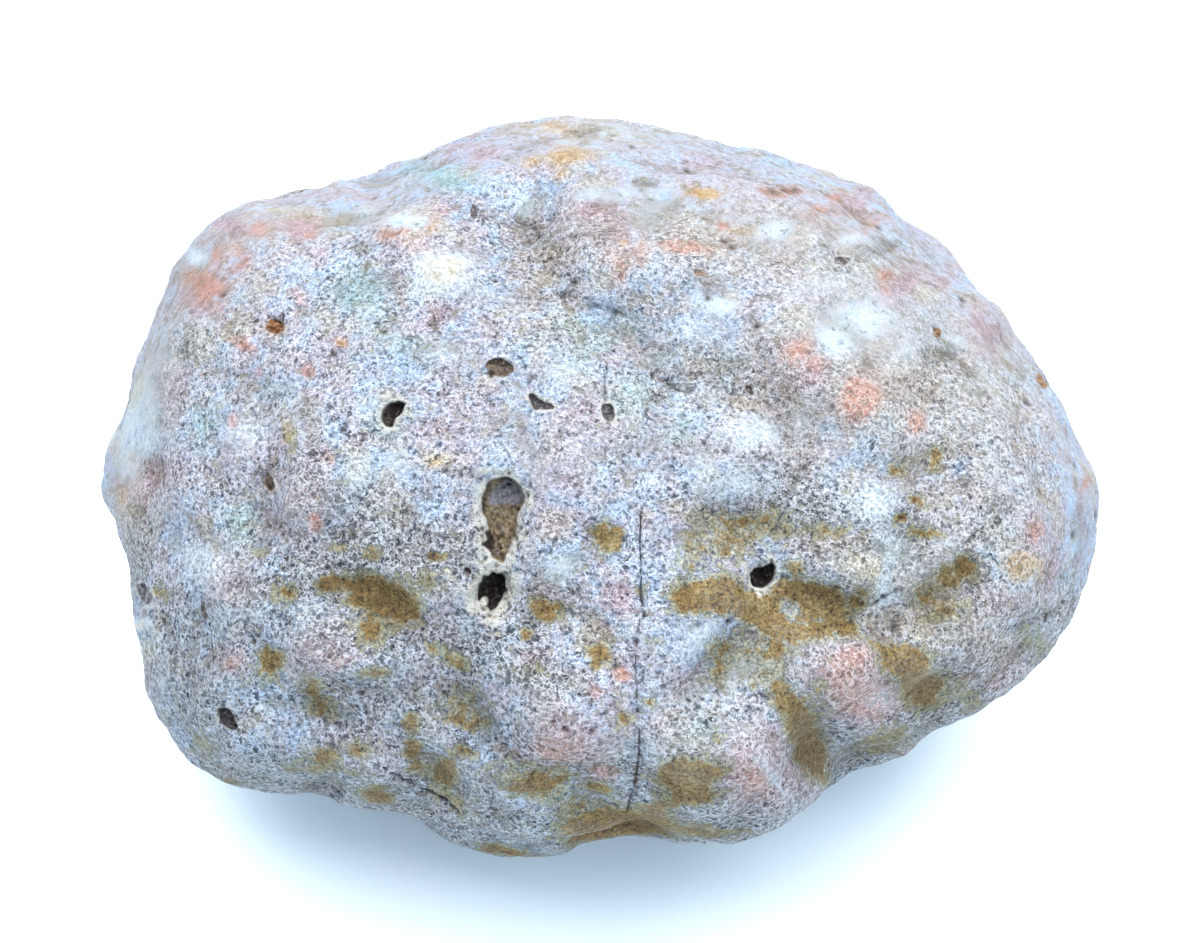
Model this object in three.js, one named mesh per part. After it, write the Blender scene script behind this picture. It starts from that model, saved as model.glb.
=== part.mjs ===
// Unopened geode: one knobbly nodule of quartz rind, lying on a small flat spot.
//
// Millimetres. Row frame: +Z up, origin on the ground under the middle of the stone, X along its
// length. The stone has one broad face, which looks up and forward (towards -Y). The body and all
// its relief are laid out in the face frame: x across, y up the face, z straight out of it. The
// last step lets that frame slump, tips it back by FACE_TILT and presses the lowest skin flat.
import * as THREE from "three";
import { mergeVertices } from "three/addons/utils/BufferGeometryUtils.js";
import { ImprovedNoise } from "three/addons/math/ImprovedNoise.js";

// ---------------------------------------------------------------------------------------------
// Driving dimensions
// ---------------------------------------------------------------------------------------------
const FACE_TILT = 52; // degrees above the horizon that the broad face looks
const SLUMP = 0.3; // how far the stone sags back along z for each millimetre up the face
const FRONT_DEPTH = 33; // from the girdle's plane out to the top of the broad face
const BACK_DEPTH = 32; // from the girdle's plane to the back
const FULLNESS = 2.3; // 2 is an ellipsoid, and more has fuller shoulders
const FLAT_SPOT_DEPTH = 1.7; // how much of the lowest skin is worn away flat

// The girdle is the outline seen square on to the broad face: the distance from the middle every
// 15 degrees, counter-clockwise from +x. Round lumps then swell it.
const GIRDLE = [
  51.2, 46.9, 43.7, 41.7, 39.3, 38.0, 38.5, 39.0, 39.3, 43.8, 49.4, 49.6,
  49.5, 49.3, 48.6, 42.6, 37.7, 36.9, 34.8, 36.6, 38.2, 37.6, 45.2, 49.5,
];

// Lumps and hollows of the broad face: middle [across, up], half size [long, wide], turn of the
// long side in degrees, and height (a hollow's is negative). One that lies outside the girdle is
// set on it.
const FACE_RELIEF = [
  // the two broad swellings and the saddle between them
  { at: [-16.1, 4.4], size: [22, 19], height: 2.2 },
  { at: [24.6, 15], size: [21, 12], turn: -32, height: 3.3 },
  { at: [2.8, 12.2], size: [15, 5], turn: -38, height: -1.4 },
  // along the top
  { at: [-34.3, 20.5], size: [11, 9], turn: 40, height: 1.9 },
  { at: [-16.8, 23.8], size: [6.5, 4.5], height: 2.6 },
  { at: [-14.3, 19.2], size: [4.2, 3.2], turn: 20, height: 1.6 },
  { at: [-4.5, 31], size: [10, 4.5], turn: -5, height: 2.2 },
  { at: [0.9, 21.5], size: [5, 6.5], turn: 10, height: 2.9 },
  { at: [13, 27.4], size: [12, 4], turn: -9, height: 2.8 },
  { at: [8.5, 20.6], size: [6, 3.5], turn: -10, height: 1.3 },
  { at: [-6.8, 27.2], size: [5.5, 2.4], turn: 48, height: -2.3 },
  { at: [-26.4, 26.4], size: [3.5, 6], turn: -20, height: -1.4 },
  // the right side
  { at: [16.5, 12.4], size: [4.8, 4.2], height: 1.6 },
  { at: [23.4, 7.6], size: [6, 4.6], height: 1.9 },
  { at: [13.7, 4.6], size: [5.4, 3.6], turn: -10, height: 2.2 },
  { at: [23.2, -1.3], size: [6, 3.4], turn: -25, height: 1.6 },
  { at: [23.3, -6.8], size: [5, 4.6], height: 2.3 },
  { at: [38, -6], size: [8, 8.5], height: 3.2 },
  { at: [37.3, 5.4], size: [7, 5.5], turn: -50, height: 1.3 },
  { at: [33.8, -14.6], size: [7, 4], turn: 25, height: 1.6 },
  { at: [32.3, 13], size: [4.4, 2.6], turn: -30, height: -1.3 },
  { at: [35.2, -7.9], size: [3, 5], turn: -40, height: -1.9 },
  // the clay-filled hollows in the middle of the right half
  { at: [14.2, -5.7], size: [7.5, 4.2], height: -1.9 },
  { at: [20.5, -11.7], size: [9, 3], turn: -24, height: -2.5 },
  { at: [12.8, -17.3], size: [5, 5.5], turn: 30, height: -1.9 },
  { at: [21.2, -26.1], size: [3.4, 8], turn: 22, height: -2.8 },
  { at: [32.9, -20.2], size: [3, 5.5], turn: 12, height: -2.2 },
  { at: [21.9, -16.6], size: [6, 5.2], turn: -35, height: 3.2 },
  // the lower middle
  { at: [-2.4, -20.2], size: [9, 7], turn: -15, height: 2.8 },
  { at: [7.4, -13.7], size: [6, 5], height: 1.3 },
  { at: [12, -25.5], size: [8.5, 7], turn: -15, height: 2.9 },
  { at: [8.3, -27.5], size: [4.6, 2.4], height: -1.4 },
  { at: [1, -34], size: [6.5, 2.4], turn: -8, height: -2.3 },
  { at: [-10, -38.5], size: [8.5, 7], height: 1.8 },
  { at: [0, -5.1], size: [3.4, 3.2], height: -0.9 },
  { at: [-4.1, -9.9], size: [5, 3], turn: 20, height: -1.0 },
  // the lower left
  { at: [-21.2, -11.4], size: [5.5, 3.4], turn: -20, height: -1.9 },
  { at: [-24.4, -15.1], size: [5.6, 4.2], height: 2.5 },
  { at: [-34.3, -10.4], size: [5, 4.4], height: 1.6 },
  { at: [-35.4, -16.6], size: [3.8, 3.4], height: 1.3 },
  { at: [-27.4, -22.4], size: [5, 2.4], turn: -10, height: -1.6 },
  { at: [-14.3, -20.4], size: [6.5, 2.4], turn: -42, height: -1.7 },
  { at: [-38, -30], size: [13, 8], turn: -25, height: 2.0 },
  { at: [-16.2, -27.6], size: [5, 3], turn: -60, height: -1.3 },
  // the left side
  { at: [-50.5, 2], size: [5, 5.5], turn: -20, height: 2.2 },
  { at: [-26.1, 4.3], size: [4.5, 9.5], turn: -8, height: 1.3 },
  { at: [-31.4, -0.8], size: [2.4, 5], turn: -30, height: -1.2 },
  { at: [-40.4, 12.9], size: [6, 8], turn: -15, height: 1.2 },
  // on the girdle
  { at: [19, 35], size: [9, 5], turn: -12, height: 0.8 },
  { at: [37, 25], size: [7, 5], turn: -45, height: 1.2 },
  { at: [48, 12], size: [7, 5], turn: -60, height: 0.7 },
  { at: [-23.5, 34], size: [4, 4], height: 1.0 },
  { at: [30, -30], size: [6.5, 4.5], turn: 25, height: 1.7 },
];

// Creases where one swelling meets the next: points [across, up], half width, depth.
const CREASES = [
  {
    path: [[-6.8, 29.1], [-4.9, 23.5], [-1.8, 18.7], [3.4, 15.6], [7.9, 10.4], [13.9, 8.5], [19, 5.8]],
    width: 2.4,
    depth: 1.6,
  },
  { path: [[19, 5.8], [19.4, 1], [24.1, -3.9], [28.8, -5.5], [32.3, -11.6]], width: 2.2, depth: 0.9 },
  { path: [[9.5, -2.7], [13.5, -2.3], [18.4, -4.2], [21.8, -4.4]], width: 2.1, depth: 0.8 },
  { path: [[19.1, -9.4], [25.1, -12.9], [30.1, -13], [35, -8.4]], width: 2.3, depth: 1.3 },
  { path: [[29.9, -13.4], [34.6, -12.2], [44.3, -15.3]], width: 2.0, depth: 0.9 },
  { path: [[24, -31], [28, -26], [34.5, -22.9], [40.3, -19.1]], width: 2.0, depth: 1.2 },
  { path: [[-20.2, -12.4], [-14.5, -16.2], [-9.9, -21.6], [-4.6, -28.6], [1.9, -32.2]], width: 2.4, depth: 0.9 },
  { path: [[-41.7, -15.1], [-32.8, -16.3], [-31.5, -20.9], [-20.7, -20.1]], width: 2.2, depth: 0.8 },
  { path: [[-27.9, -30.3], [-19.9, -29.4], [-15.9, -33.3]], width: 2.0, depth: 0.9 },
  { path: [[-50, 7], [-44.6, 3], [-43.2, -5.6]], width: 2.1, depth: 0.9 },
  { path: [[4.7, 28.3], [14.2, 25.3], [27.5, 28], [34.5, 19.2]], width: 2.1, depth: 0.8 },
];

// Open pits: middle, half size at the mouth, turn, depth, and the raised rim round the mouth.
const FACE_PITS = [
  { at: [-8.4, -1.4], size: [2.4, 2.8], turn: 0, depth: 3.0, rim: 0.4 },
  { at: [-9, -4.7], size: [1.9, 3.0], turn: -6, depth: 3.0, rim: 0.4 },
  { at: [-9.7, -9.7], size: [1.7, 2.3], turn: -12, depth: 3.6, rim: 0.5 },
  { at: [-18.4, 6.3], size: [1.1, 1.5], turn: -32, depth: 2.2, rim: 0.15 },
  { at: [-9.1, 10.8], size: [1.4, 1.1], turn: 0, depth: 1.5, rim: 0.1 },
  { at: [16.6, -8.9], size: [1.1, 1.6], turn: -28, depth: 2.4, rim: 0.3 },
  { at: [-35.6, -22.3], size: [1.0, 1.3], turn: 38, depth: 1.8, rim: 0.15 },
  { at: [-46.2, -11.3], size: [1.1, 1.2], turn: 0, depth: 1.6, rim: 0.2 },
  { at: [-30.9, 15.3], size: [1.0, 0.9], turn: 0, depth: 1.2, rim: 0.1 },
];

// Small knobs all over, and large ones on the back and the underside, spread evenly then shaken.
// The large ones fade in below faceReach, which is the height of their direction over the girdle.
const SMALL_KNOBS = { count: 420, size: [2.8, 4.6], height: [0.2, 0.9] };
const BACK_KNOBS = { count: 90, size: [6, 10], height: [0.9, 2.4], faceReach: 0.1, fade: 0.35 };
const BACK_PITS = { tries: 28, count: 7, size: [0.9, 1.7], depth: [1.4, 2.6], rim: 0.2 };
const BACK_PITS_BEHIND = -8; // back pits lie behind this plane of the face frame
const BACK_PITS_ABOVE = -23; // and at least this high, counted from the middle of the stone
const SEED = 7;

// Profiles, as shares of a feature's half size
const DOME_REACH = 1.3;
const PIT_WALL = [0.5, 1.05]; // from the edge of the floor to the mouth
const RIM = { at: 1.35, width: 0.4 };

const ROUGHNESS = [
  { wavelength: 17, height: 0.9 },
  { wavelength: 8, height: 0.5 },
];

// Facets: plain ground, and the smallest edge as a share of a pit's size
const GROUND_RINGS = 17; // each icosahedron edge is cut into this many plus one
const PIT_EDGE_SHARE = 0.6;
const PIT_REACH = 1.2; // the small facets go this far out, as a share of the pit's half size
const EDGE_GROWTH = 1.2; // millimetres that an edge may gain for each one beyond that
const SPLITTING_ROUNDS = 3;
const RELAXING_ROUNDS = 2;

const STONE_COLOUR = 0xc2bfc8;

// ---------------------------------------------------------------------------------------------
// Body
// ---------------------------------------------------------------------------------------------
const { degToRad, lerp, smoothstep } = THREE.MathUtils;
const ACROSS = new THREE.Vector3(1, 0, 0);
const HALF_SIZES = new THREE.Vector3(50, 38, 32); // of the ellipsoid nearest to the body

// Distance from the middle to the girdle at an angle, on a smooth closed curve through GIRDLE
function girdleAt(angle) {
  const place = (angle / (2 * Math.PI)) * GIRDLE.length + GIRDLE.length;
  const first = Math.floor(place);
  const t = place - first;
  const [a, b, c, d] = [-1, 0, 1, 2].map((k) => GIRDLE[(first + k) % GIRDLE.length]);
  return b + 0.5 * t * (c - a + t * (2 * a - 5 * b + 4 * c - d + t * (3 * (b - c) + d - a)));
}

// The point of the bare body in a direction from the middle
function bodyPoint(direction) {
  const girdle = girdleAt(Math.atan2(direction.y, direction.x));
  const sideways = Math.hypot(direction.x, direction.y) / girdle;
  const depth = direction.z > 0 ? FRONT_DEPTH : BACK_DEPTH;
  const outwards = Math.abs(direction.z) / depth;
  const reach = (sideways ** FULLNESS + outwards ** FULLNESS) ** (-1 / FULLNESS);
  return direction.clone().multiplyScalar(reach);
}

// The point of the broad face at [across, up], or of the girdle if that lies outside it
function facePoint([across, up]) {
  const share = Math.hypot(across, up) / girdleAt(Math.atan2(up, across));
  if (share >= 1) return new THREE.Vector3(across / share, up / share, 0);
  return new THREE.Vector3(across, up, FRONT_DEPTH * (1 - share ** FULLNESS) ** (1 / FULLNESS));
}

// ---------------------------------------------------------------------------------------------
// Relief
// ---------------------------------------------------------------------------------------------

// Adds the tangent frame at a feature's middle, so that distances to it run along the skin
function placed(feature, middle) {
  const normal = middle.clone().divide(HALF_SIZES).divide(HALF_SIZES).normalize();
  const level = ACROSS.clone().addScaledVector(normal, -normal.x).normalize();
  level.applyAxisAngle(normal, degToRad(feature.turn ?? 0));
  return { ...feature, middle, normal, level, upright: normal.clone().cross(level) };
}

// How far a point lies from a feature's middle, as a share of the feature's half size
function shareOut({ middle, level, upright, normal, size }, point) {
  const offset = point.clone().sub(middle);
  const sagging = offset.dot(normal) / (size[0] + size[1]);
  return Math.hypot(offset.dot(level) / size[0], offset.dot(upright) / size[1], sagging);
}

// Profiles from the middle out: a round knob, a pit's wall and floor, and the rim round its mouth
const dome = (share) => (1 - Math.min(share / DOME_REACH, 1) ** 2) ** 2;
const shaft = (share) => 1 - smoothstep(share, ...PIT_WALL);
const collar = (share) => Math.exp(-(((share - RIM.at) / RIM.width) ** 2));

// How far a point lies from a chain of points
function distanceToPath(path, point) {
  const nearest = new THREE.Vector3();
  let least = Infinity;
  for (let i = 1; i < path.length; i += 1) {
    new THREE.Line3(path[i - 1], path[i]).closestPointToPoint(point, true, nearest);
    least = Math.min(least, nearest.distanceTo(point));
  }
  return least;
}

// The same numbers from 0 to 1 on every run
function repeatableRandom(seed) {
  let state = seed;
  return () => {
    state = (state * 16807) % 2147483647;
    return state / 2147483647;
  };
}

// Directions spread evenly over the sphere and shaken a little
function scatteredDirections(count, random) {
  const goldenAngle = Math.PI * (3 - Math.sqrt(5));
  return Array.from({ length: count }, (_, i) => {
    const height = 1 - (2 * (i + random())) / count;
    const turn = goldenAngle * i + 0.5 * random();
    const ring = Math.sqrt(1 - height * height);
    return new THREE.Vector3(ring * Math.cos(turn), ring * Math.sin(turn), height);
  });
}

const random = repeatableRandom(SEED);
const between = ([low, high]) => lerp(low, high, random());
const slump = new THREE.Matrix4().makeShear(0, 0, 0, -SLUMP, 0, 0);
const tip = new THREE.Matrix4().makeRotationX(degToRad(90 - FACE_TILT)).multiply(slump);

const knob = ({ size, height }, direction, share = 1) =>
  placed(
    { size: [between(size), between(size)], turn: 180 * random(), height: between(height) * share },
    bodyPoint(direction),
  );
const fadeIn = ({ z }) => smoothstep(BACK_KNOBS.faceReach - z, 0, BACK_KNOBS.fade);
const smallKnobs = scatteredDirections(SMALL_KNOBS.count, random).map((direction) =>
  knob(SMALL_KNOBS, direction),
);
const backKnobs = scatteredDirections(BACK_KNOBS.count, random)
  .filter((direction) => direction.z < BACK_KNOBS.faceReach)
  .map((direction) => knob(BACK_KNOBS, direction, fadeIn(direction)));

const backPits = scatteredDirections(BACK_PITS.tries, random)
  .map(bodyPoint)
  .filter((middle) => middle.z < BACK_PITS_BEHIND)
  .filter((middle) => middle.clone().applyMatrix4(tip).z > BACK_PITS_ABOVE)
  .slice(0, BACK_PITS.count)
  .map((middle) => {
    const size = [between(BACK_PITS.size), between(BACK_PITS.size)];
    const turn = 180 * random();
    return placed({ size, turn, depth: between(BACK_PITS.depth), rim: BACK_PITS.rim }, middle);
  });

const faceLumps = FACE_RELIEF.map((lump) => placed(lump, facePoint(lump.at)));
const lumps = [...faceLumps, ...smallKnobs, ...backKnobs];
const creases = CREASES.map((crease) => ({ ...crease, path: crease.path.map(facePoint) }));
const pits = [...FACE_PITS.map((pit) => placed(pit, facePoint(pit.at))), ...backPits];

const noise = new ImprovedNoise();
function roughness({ x, y, z }) {
  const waves = ROUGHNESS.map(({ wavelength: w, height }) => height * noise.noise(x / w, y / w, z / w));
  return waves.reduce((sum, wave) => sum + wave);
}

// The stone's skin in a direction from the middle, in the face frame
function skinPoint(direction) {
  const body = bodyPoint(direction);
  let relief = roughness(body);
  for (const lump of lumps) relief += lump.height * dome(shareOut(lump, body));
  for (const { path, width, depth } of creases) {
    relief -= depth * Math.exp(-((distanceToPath(path, body) / width) ** 2));
  }
  const shares = pits.map((pit) => shareOut(pit, body));
  const sunk = Math.max(...pits.map((pit, i) => pit.depth * shaft(shares[i])));
  const raised = Math.max(...pits.map((pit, i) => pit.rim * collar(shares[i])));
  const whole = 1 - shaft(Math.min(...shares));
  return body.addScaledVector(direction, relief - sunk + whole * raised);
}

// ---------------------------------------------------------------------------------------------
// Mesh
// ---------------------------------------------------------------------------------------------

// The longest edge that the skin may have at a body point
function longestEdge(point) {
  let edge = Infinity;
  for (const pit of pits) {
    const finest = PIT_EDGE_SHARE * Math.min(...pit.size);
    const beyond = Math.max(0, shareOut(pit, point) - PIT_REACH) * Math.min(...pit.size);
    edge = Math.min(edge, finest + EDGE_GROWTH * beyond);
  }
  return edge;
}

// Cuts every edge that is too long at its middle, and each triangle to suit its cut edges
function splitLongEdges(directions, triangles) {
  const skin = directions.map(skinPoint);
  const cuts = new Map();
  const cutOf = (a, b) => {
    const key = a < b ? `${a} ${b}` : `${b} ${a}`;
    if (!cuts.has(key)) {
      const middle = directions[a].clone().add(directions[b]).normalize();
      const long = skin[a].distanceTo(skin[b]) > longestEdge(bodyPoint(middle));
      cuts.set(key, long ? directions.push(middle) - 1 : null);
    }
    return cuts.get(key);
  };
  return triangles.flatMap((corners) => {
    const middles = corners.map((corner, i) => cutOf(corner, corners[(i + 1) % 3]));
    const count = middles.filter((m) => m !== null).length;
    if (count === 0) return [corners];
    // Turn the triangle so that its first edge is cut, and its last is whole if only two are
    const start = [0, 1, 2].find(
      (i) => middles[i] !== null && (count !== 2 || middles[(i + 2) % 3] === null),
    );
    const [a, b, c] = [0, 1, 2].map((i) => corners[(start + i) % 3]);
    const [ab, bc, ca] = [0, 1, 2].map((i) => middles[(start + i) % 3]);
    if (count === 1) return [[a, ab, c], [ab, b, c]];
    if (count === 2) return [[ab, b, bc], [a, ab, c], [ab, bc, c]];
    return [[a, ab, ca], [ab, b, bc], [ca, bc, c], [ab, bc, ca]];
  });
}

// Moves each direction halfway to the mean of its neighbours, which evens out the facets
function relax(directions, triangles) {
  const sums = directions.map(() => new THREE.Vector3());
  for (const corners of triangles) {
    corners.forEach((corner, i) => sums[corner].add(directions[corners[(i + 1) % 3]]));
  }
  directions.forEach((direction, i) => direction.add(sums[i].normalize()).normalize());
}

function facetedSphere() {
  const sphere = new THREE.IcosahedronGeometry(1, GROUND_RINGS);
  sphere.deleteAttribute("normal");
  sphere.deleteAttribute("uv");
  const { index, attributes } = mergeVertices(sphere);
  const directions = [];
  for (let i = 0; i < attributes.position.count; i += 1) {
    directions.push(new THREE.Vector3().fromBufferAttribute(attributes.position, i).normalize());
  }
  let triangles = [];
  for (let i = 0; i < index.count; i += 3) triangles.push([0, 1, 2].map((k) => index.getX(i + k)));
  for (let round = 0; round < SPLITTING_ROUNDS; round += 1) {
    triangles = splitLongEdges(directions, triangles);
    for (let again = 0; again < RELAXING_ROUNDS; again += 1) relax(directions, triangles);
  }
  return { directions, triangles };
}

// Slumps the stone and tips it back, wears its lowest skin flat and stands it on the ground over the origin
function setDown(points) {
  for (const point of points) point.applyMatrix4(tip);
  const lowest = Math.min(...points.map((point) => point.z));
  for (const point of points) point.z = Math.max(0, point.z - lowest - FLAT_SPOT_DEPTH);
  const middle = new THREE.Box3().setFromPoints(points).getCenter(new THREE.Vector3());
  for (const point of points) point.sub(middle.setZ(0));
  return points;
}

function stoneGeometry() {
  const { directions, triangles } = facetedSphere();
  const geometry = new THREE.BufferGeometry().setFromPoints(setDown(directions.map(skinPoint)));
  geometry.setIndex(triangles.flat());
  geometry.computeVertexNormals();
  return geometry;
}

const stone = new THREE.Mesh(
  stoneGeometry(),
  new THREE.MeshStandardMaterial({ color: STONE_COLOUR, roughness: 0.85, metalness: 0, flatShading: true }),
);
stone.name = "geode";

const geode = new THREE.Group();
geode.add(stone);

export default geode;
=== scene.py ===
"""An unopened geode on a pale floor: the finish of its skin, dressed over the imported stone.

Metres, in the part's frame. Places of marks on the broad face are given in the pixels of the
view below, and land on the skin that shows there. The other sides get marks of the same kinds.
"""
import math
from collections import namedtuple

import bpy
import numpy as np
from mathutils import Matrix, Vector, noise
from mathutils.kdtree import KDTree


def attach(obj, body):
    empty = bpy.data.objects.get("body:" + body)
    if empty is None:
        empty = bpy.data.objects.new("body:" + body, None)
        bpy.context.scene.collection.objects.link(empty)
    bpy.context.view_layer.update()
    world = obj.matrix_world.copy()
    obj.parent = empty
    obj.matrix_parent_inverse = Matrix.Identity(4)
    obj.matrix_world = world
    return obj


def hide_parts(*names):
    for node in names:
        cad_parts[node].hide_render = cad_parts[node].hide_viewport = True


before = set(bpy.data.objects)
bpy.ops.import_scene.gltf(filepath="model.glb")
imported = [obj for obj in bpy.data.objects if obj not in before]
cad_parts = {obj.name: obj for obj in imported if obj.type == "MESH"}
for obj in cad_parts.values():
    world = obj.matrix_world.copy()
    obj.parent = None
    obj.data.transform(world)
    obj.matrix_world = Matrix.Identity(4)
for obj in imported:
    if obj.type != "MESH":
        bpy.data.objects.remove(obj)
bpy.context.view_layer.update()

MM = 0.001
SEED = 11
rng = np.random.default_rng(SEED)

# ---------- View ----------

PICTURE = np.array([1200, 943])  # pixels
CAMERA_ELEVATION = math.radians(52)
CAMERA_DISTANCE = 0.36
PICTURE_WIDTH = 0.1248  # metres seen across the picture at AIM
AIM = np.array([0.0002, 0.00015, 0.0303])
PIXEL = PICTURE_WIDTH / PICTURE[0]  # metres at AIM

TOWARDS = np.array([0, -math.cos(CAMERA_ELEVATION), math.sin(CAMERA_ELEVATION)])
RIGHT = np.array([1.0, 0, 0])
UP = np.cross(TOWARDS, RIGHT)
EYE = AIM + CAMERA_DISTANCE * TOWARDS


def pixels_of(points):
    """The picture's pixel at which each point shows."""
    offset = points - EYE
    scale = CAMERA_DISTANCE / PIXEL / -(offset @ TOWARDS)
    return PICTURE / 2 + np.column_stack([scale * (offset @ RIGHT), -scale * (offset @ UP)])


def smoothstep(value, low, high):
    share = np.clip((value - low) / (high - low), 0, 1)
    return share * share * (3 - 2 * share)


# ---------- Mesh ----------

WELD = 1e-6
CORNER_FACING = [2, 0, 1]  # the corner that faces each side of a triangle


def welded(mesh):
    """A mesh's points with no two alike, and its triangles."""
    points = np.array([v.co for v in mesh.vertices])
    mesh.calc_loop_triangles()
    triangles = np.array([t.vertices for t in mesh.loop_triangles])
    _, first, same = np.unique(np.round(points / WELD), axis=0, return_index=True, return_inverse=True)
    return points[first], same.reshape(-1)[triangles]


def edges_of(triangles):
    """Each edge once, and the edges that are each triangle's three sides."""
    sides = np.sort(triangles[:, [[0, 1], [1, 2], [2, 0]]].reshape(-1, 2), axis=1)
    base = triangles.max() + 1
    keys, which = np.unique(sides[:, 0] * base + sides[:, 1], return_inverse=True)
    return np.column_stack([keys // base, keys % base]), which.reshape(-1, 3)


def sum_at(places, values, count):
    """The sum of the values at each place."""
    return np.column_stack([np.bincount(places, v, minlength=count) for v in values.T])


def sum_around(edges, values):
    """The sum, at each point, of its neighbours' values."""
    return sum_at(edges.reshape(-1), values[edges[:, ::-1]].reshape(len(edges) * 2, -1), len(values))


def subdivided(points, triangles):
    """One round of Loop subdivision, which quarters each triangle and smooths the skin."""
    edges, sides = edges_of(triangles)
    count = len(points)
    facing = sum_at(sides.reshape(-1), points[triangles[:, CORNER_FACING]].reshape(-1, 3), len(edges))
    middles = points[edges].sum(1) * 3 / 8 + facing / 8
    valence = np.bincount(edges.reshape(-1), minlength=count)
    share = (5 / 8 - (3 / 8 + np.cos(2 * np.pi / valence) / 4) ** 2) / valence
    corners = points * (1 - valence * share)[:, None] + sum_around(edges, points) * share[:, None]
    a, b, c = triangles.T
    ab, bc, ca = sides.T + count
    parts = [(a, ab, ca), (ab, b, bc), (ca, bc, c), (ab, bc, ca)]
    return np.concatenate([corners, middles]), np.concatenate([np.column_stack(p) for p in parts])


def cut_edges(points, triangles, longest):
    """Cuts each edge that is longer than longest() says at its middle."""
    edges, sides = edges_of(triangles)
    length = np.linalg.norm(points[edges[:, 0]] - points[edges[:, 1]], axis=1)
    middles = points[edges].mean(1)
    cut = length > longest(middles)
    new = np.where(cut, len(points) + np.cumsum(cut) - 1, -1)[sides]
    count = (new >= 0).sum(1)
    # Turn each triangle so that its first side is cut, and its last is whole if only two are
    first = np.where(count == 1, np.argmax(new >= 0, 1), 0)
    first = np.where(count == 2, (np.argmin(new >= 0, 1) + 1) % 3, first)
    order = (first[:, None] + np.arange(3)) % 3
    a, b, c = np.take_along_axis(triangles, order, 1).T
    ab, bc, ca = np.take_along_axis(new, order, 1).T
    forms = {
        0: [(a, b, c)],
        1: [(a, ab, c), (ab, b, c)],
        2: [(ab, b, bc), (a, ab, c), (ab, bc, c)],
        3: [(a, ab, ca), (ab, b, bc), (ca, bc, c), (ab, bc, ca)],
    }
    pieces = [np.column_stack(form)[count == cuts] for cuts, parts in forms.items() for form in parts]
    return np.concatenate([points, middles[cut]]), np.concatenate(pieces)


def normals_of(points, triangles):
    a, b, c = points[triangles].transpose(1, 0, 2)
    faces = np.repeat(np.cross(b - a, c - a), 3, axis=0)
    total = sum_at(triangles.reshape(-1), faces, len(points))
    return total / np.linalg.norm(total, axis=1, keepdims=True)


def blurred(points, edges, rounds):
    """The points, evened out along the edges."""
    valence = np.bincount(edges.reshape(-1), minlength=len(points))[:, None]
    for _ in range(rounds):
        points = 0.5 * points + 0.5 * sum_around(edges, points) / valence
    return points


def filled(points, edges, region, rounds):
    """Points with those of a region drawn taut over whatever hollow lies there."""
    edges = edges[region[edges].any(1)]
    valence = np.bincount(edges.reshape(-1), minlength=len(points))[region][:, None]
    points = points.copy()
    for _ in range(rounds):
        points[region] = sum_around(edges, points)[region] / valence
    return points


# ---------- Marks on the broad face ----------

Pit = namedtuple("Pit", "outline depth rim chalk gloom ash rust", defaults=(0.0, 0.0))
Crack = namedtuple("Crack", "path width depth dark")

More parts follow.
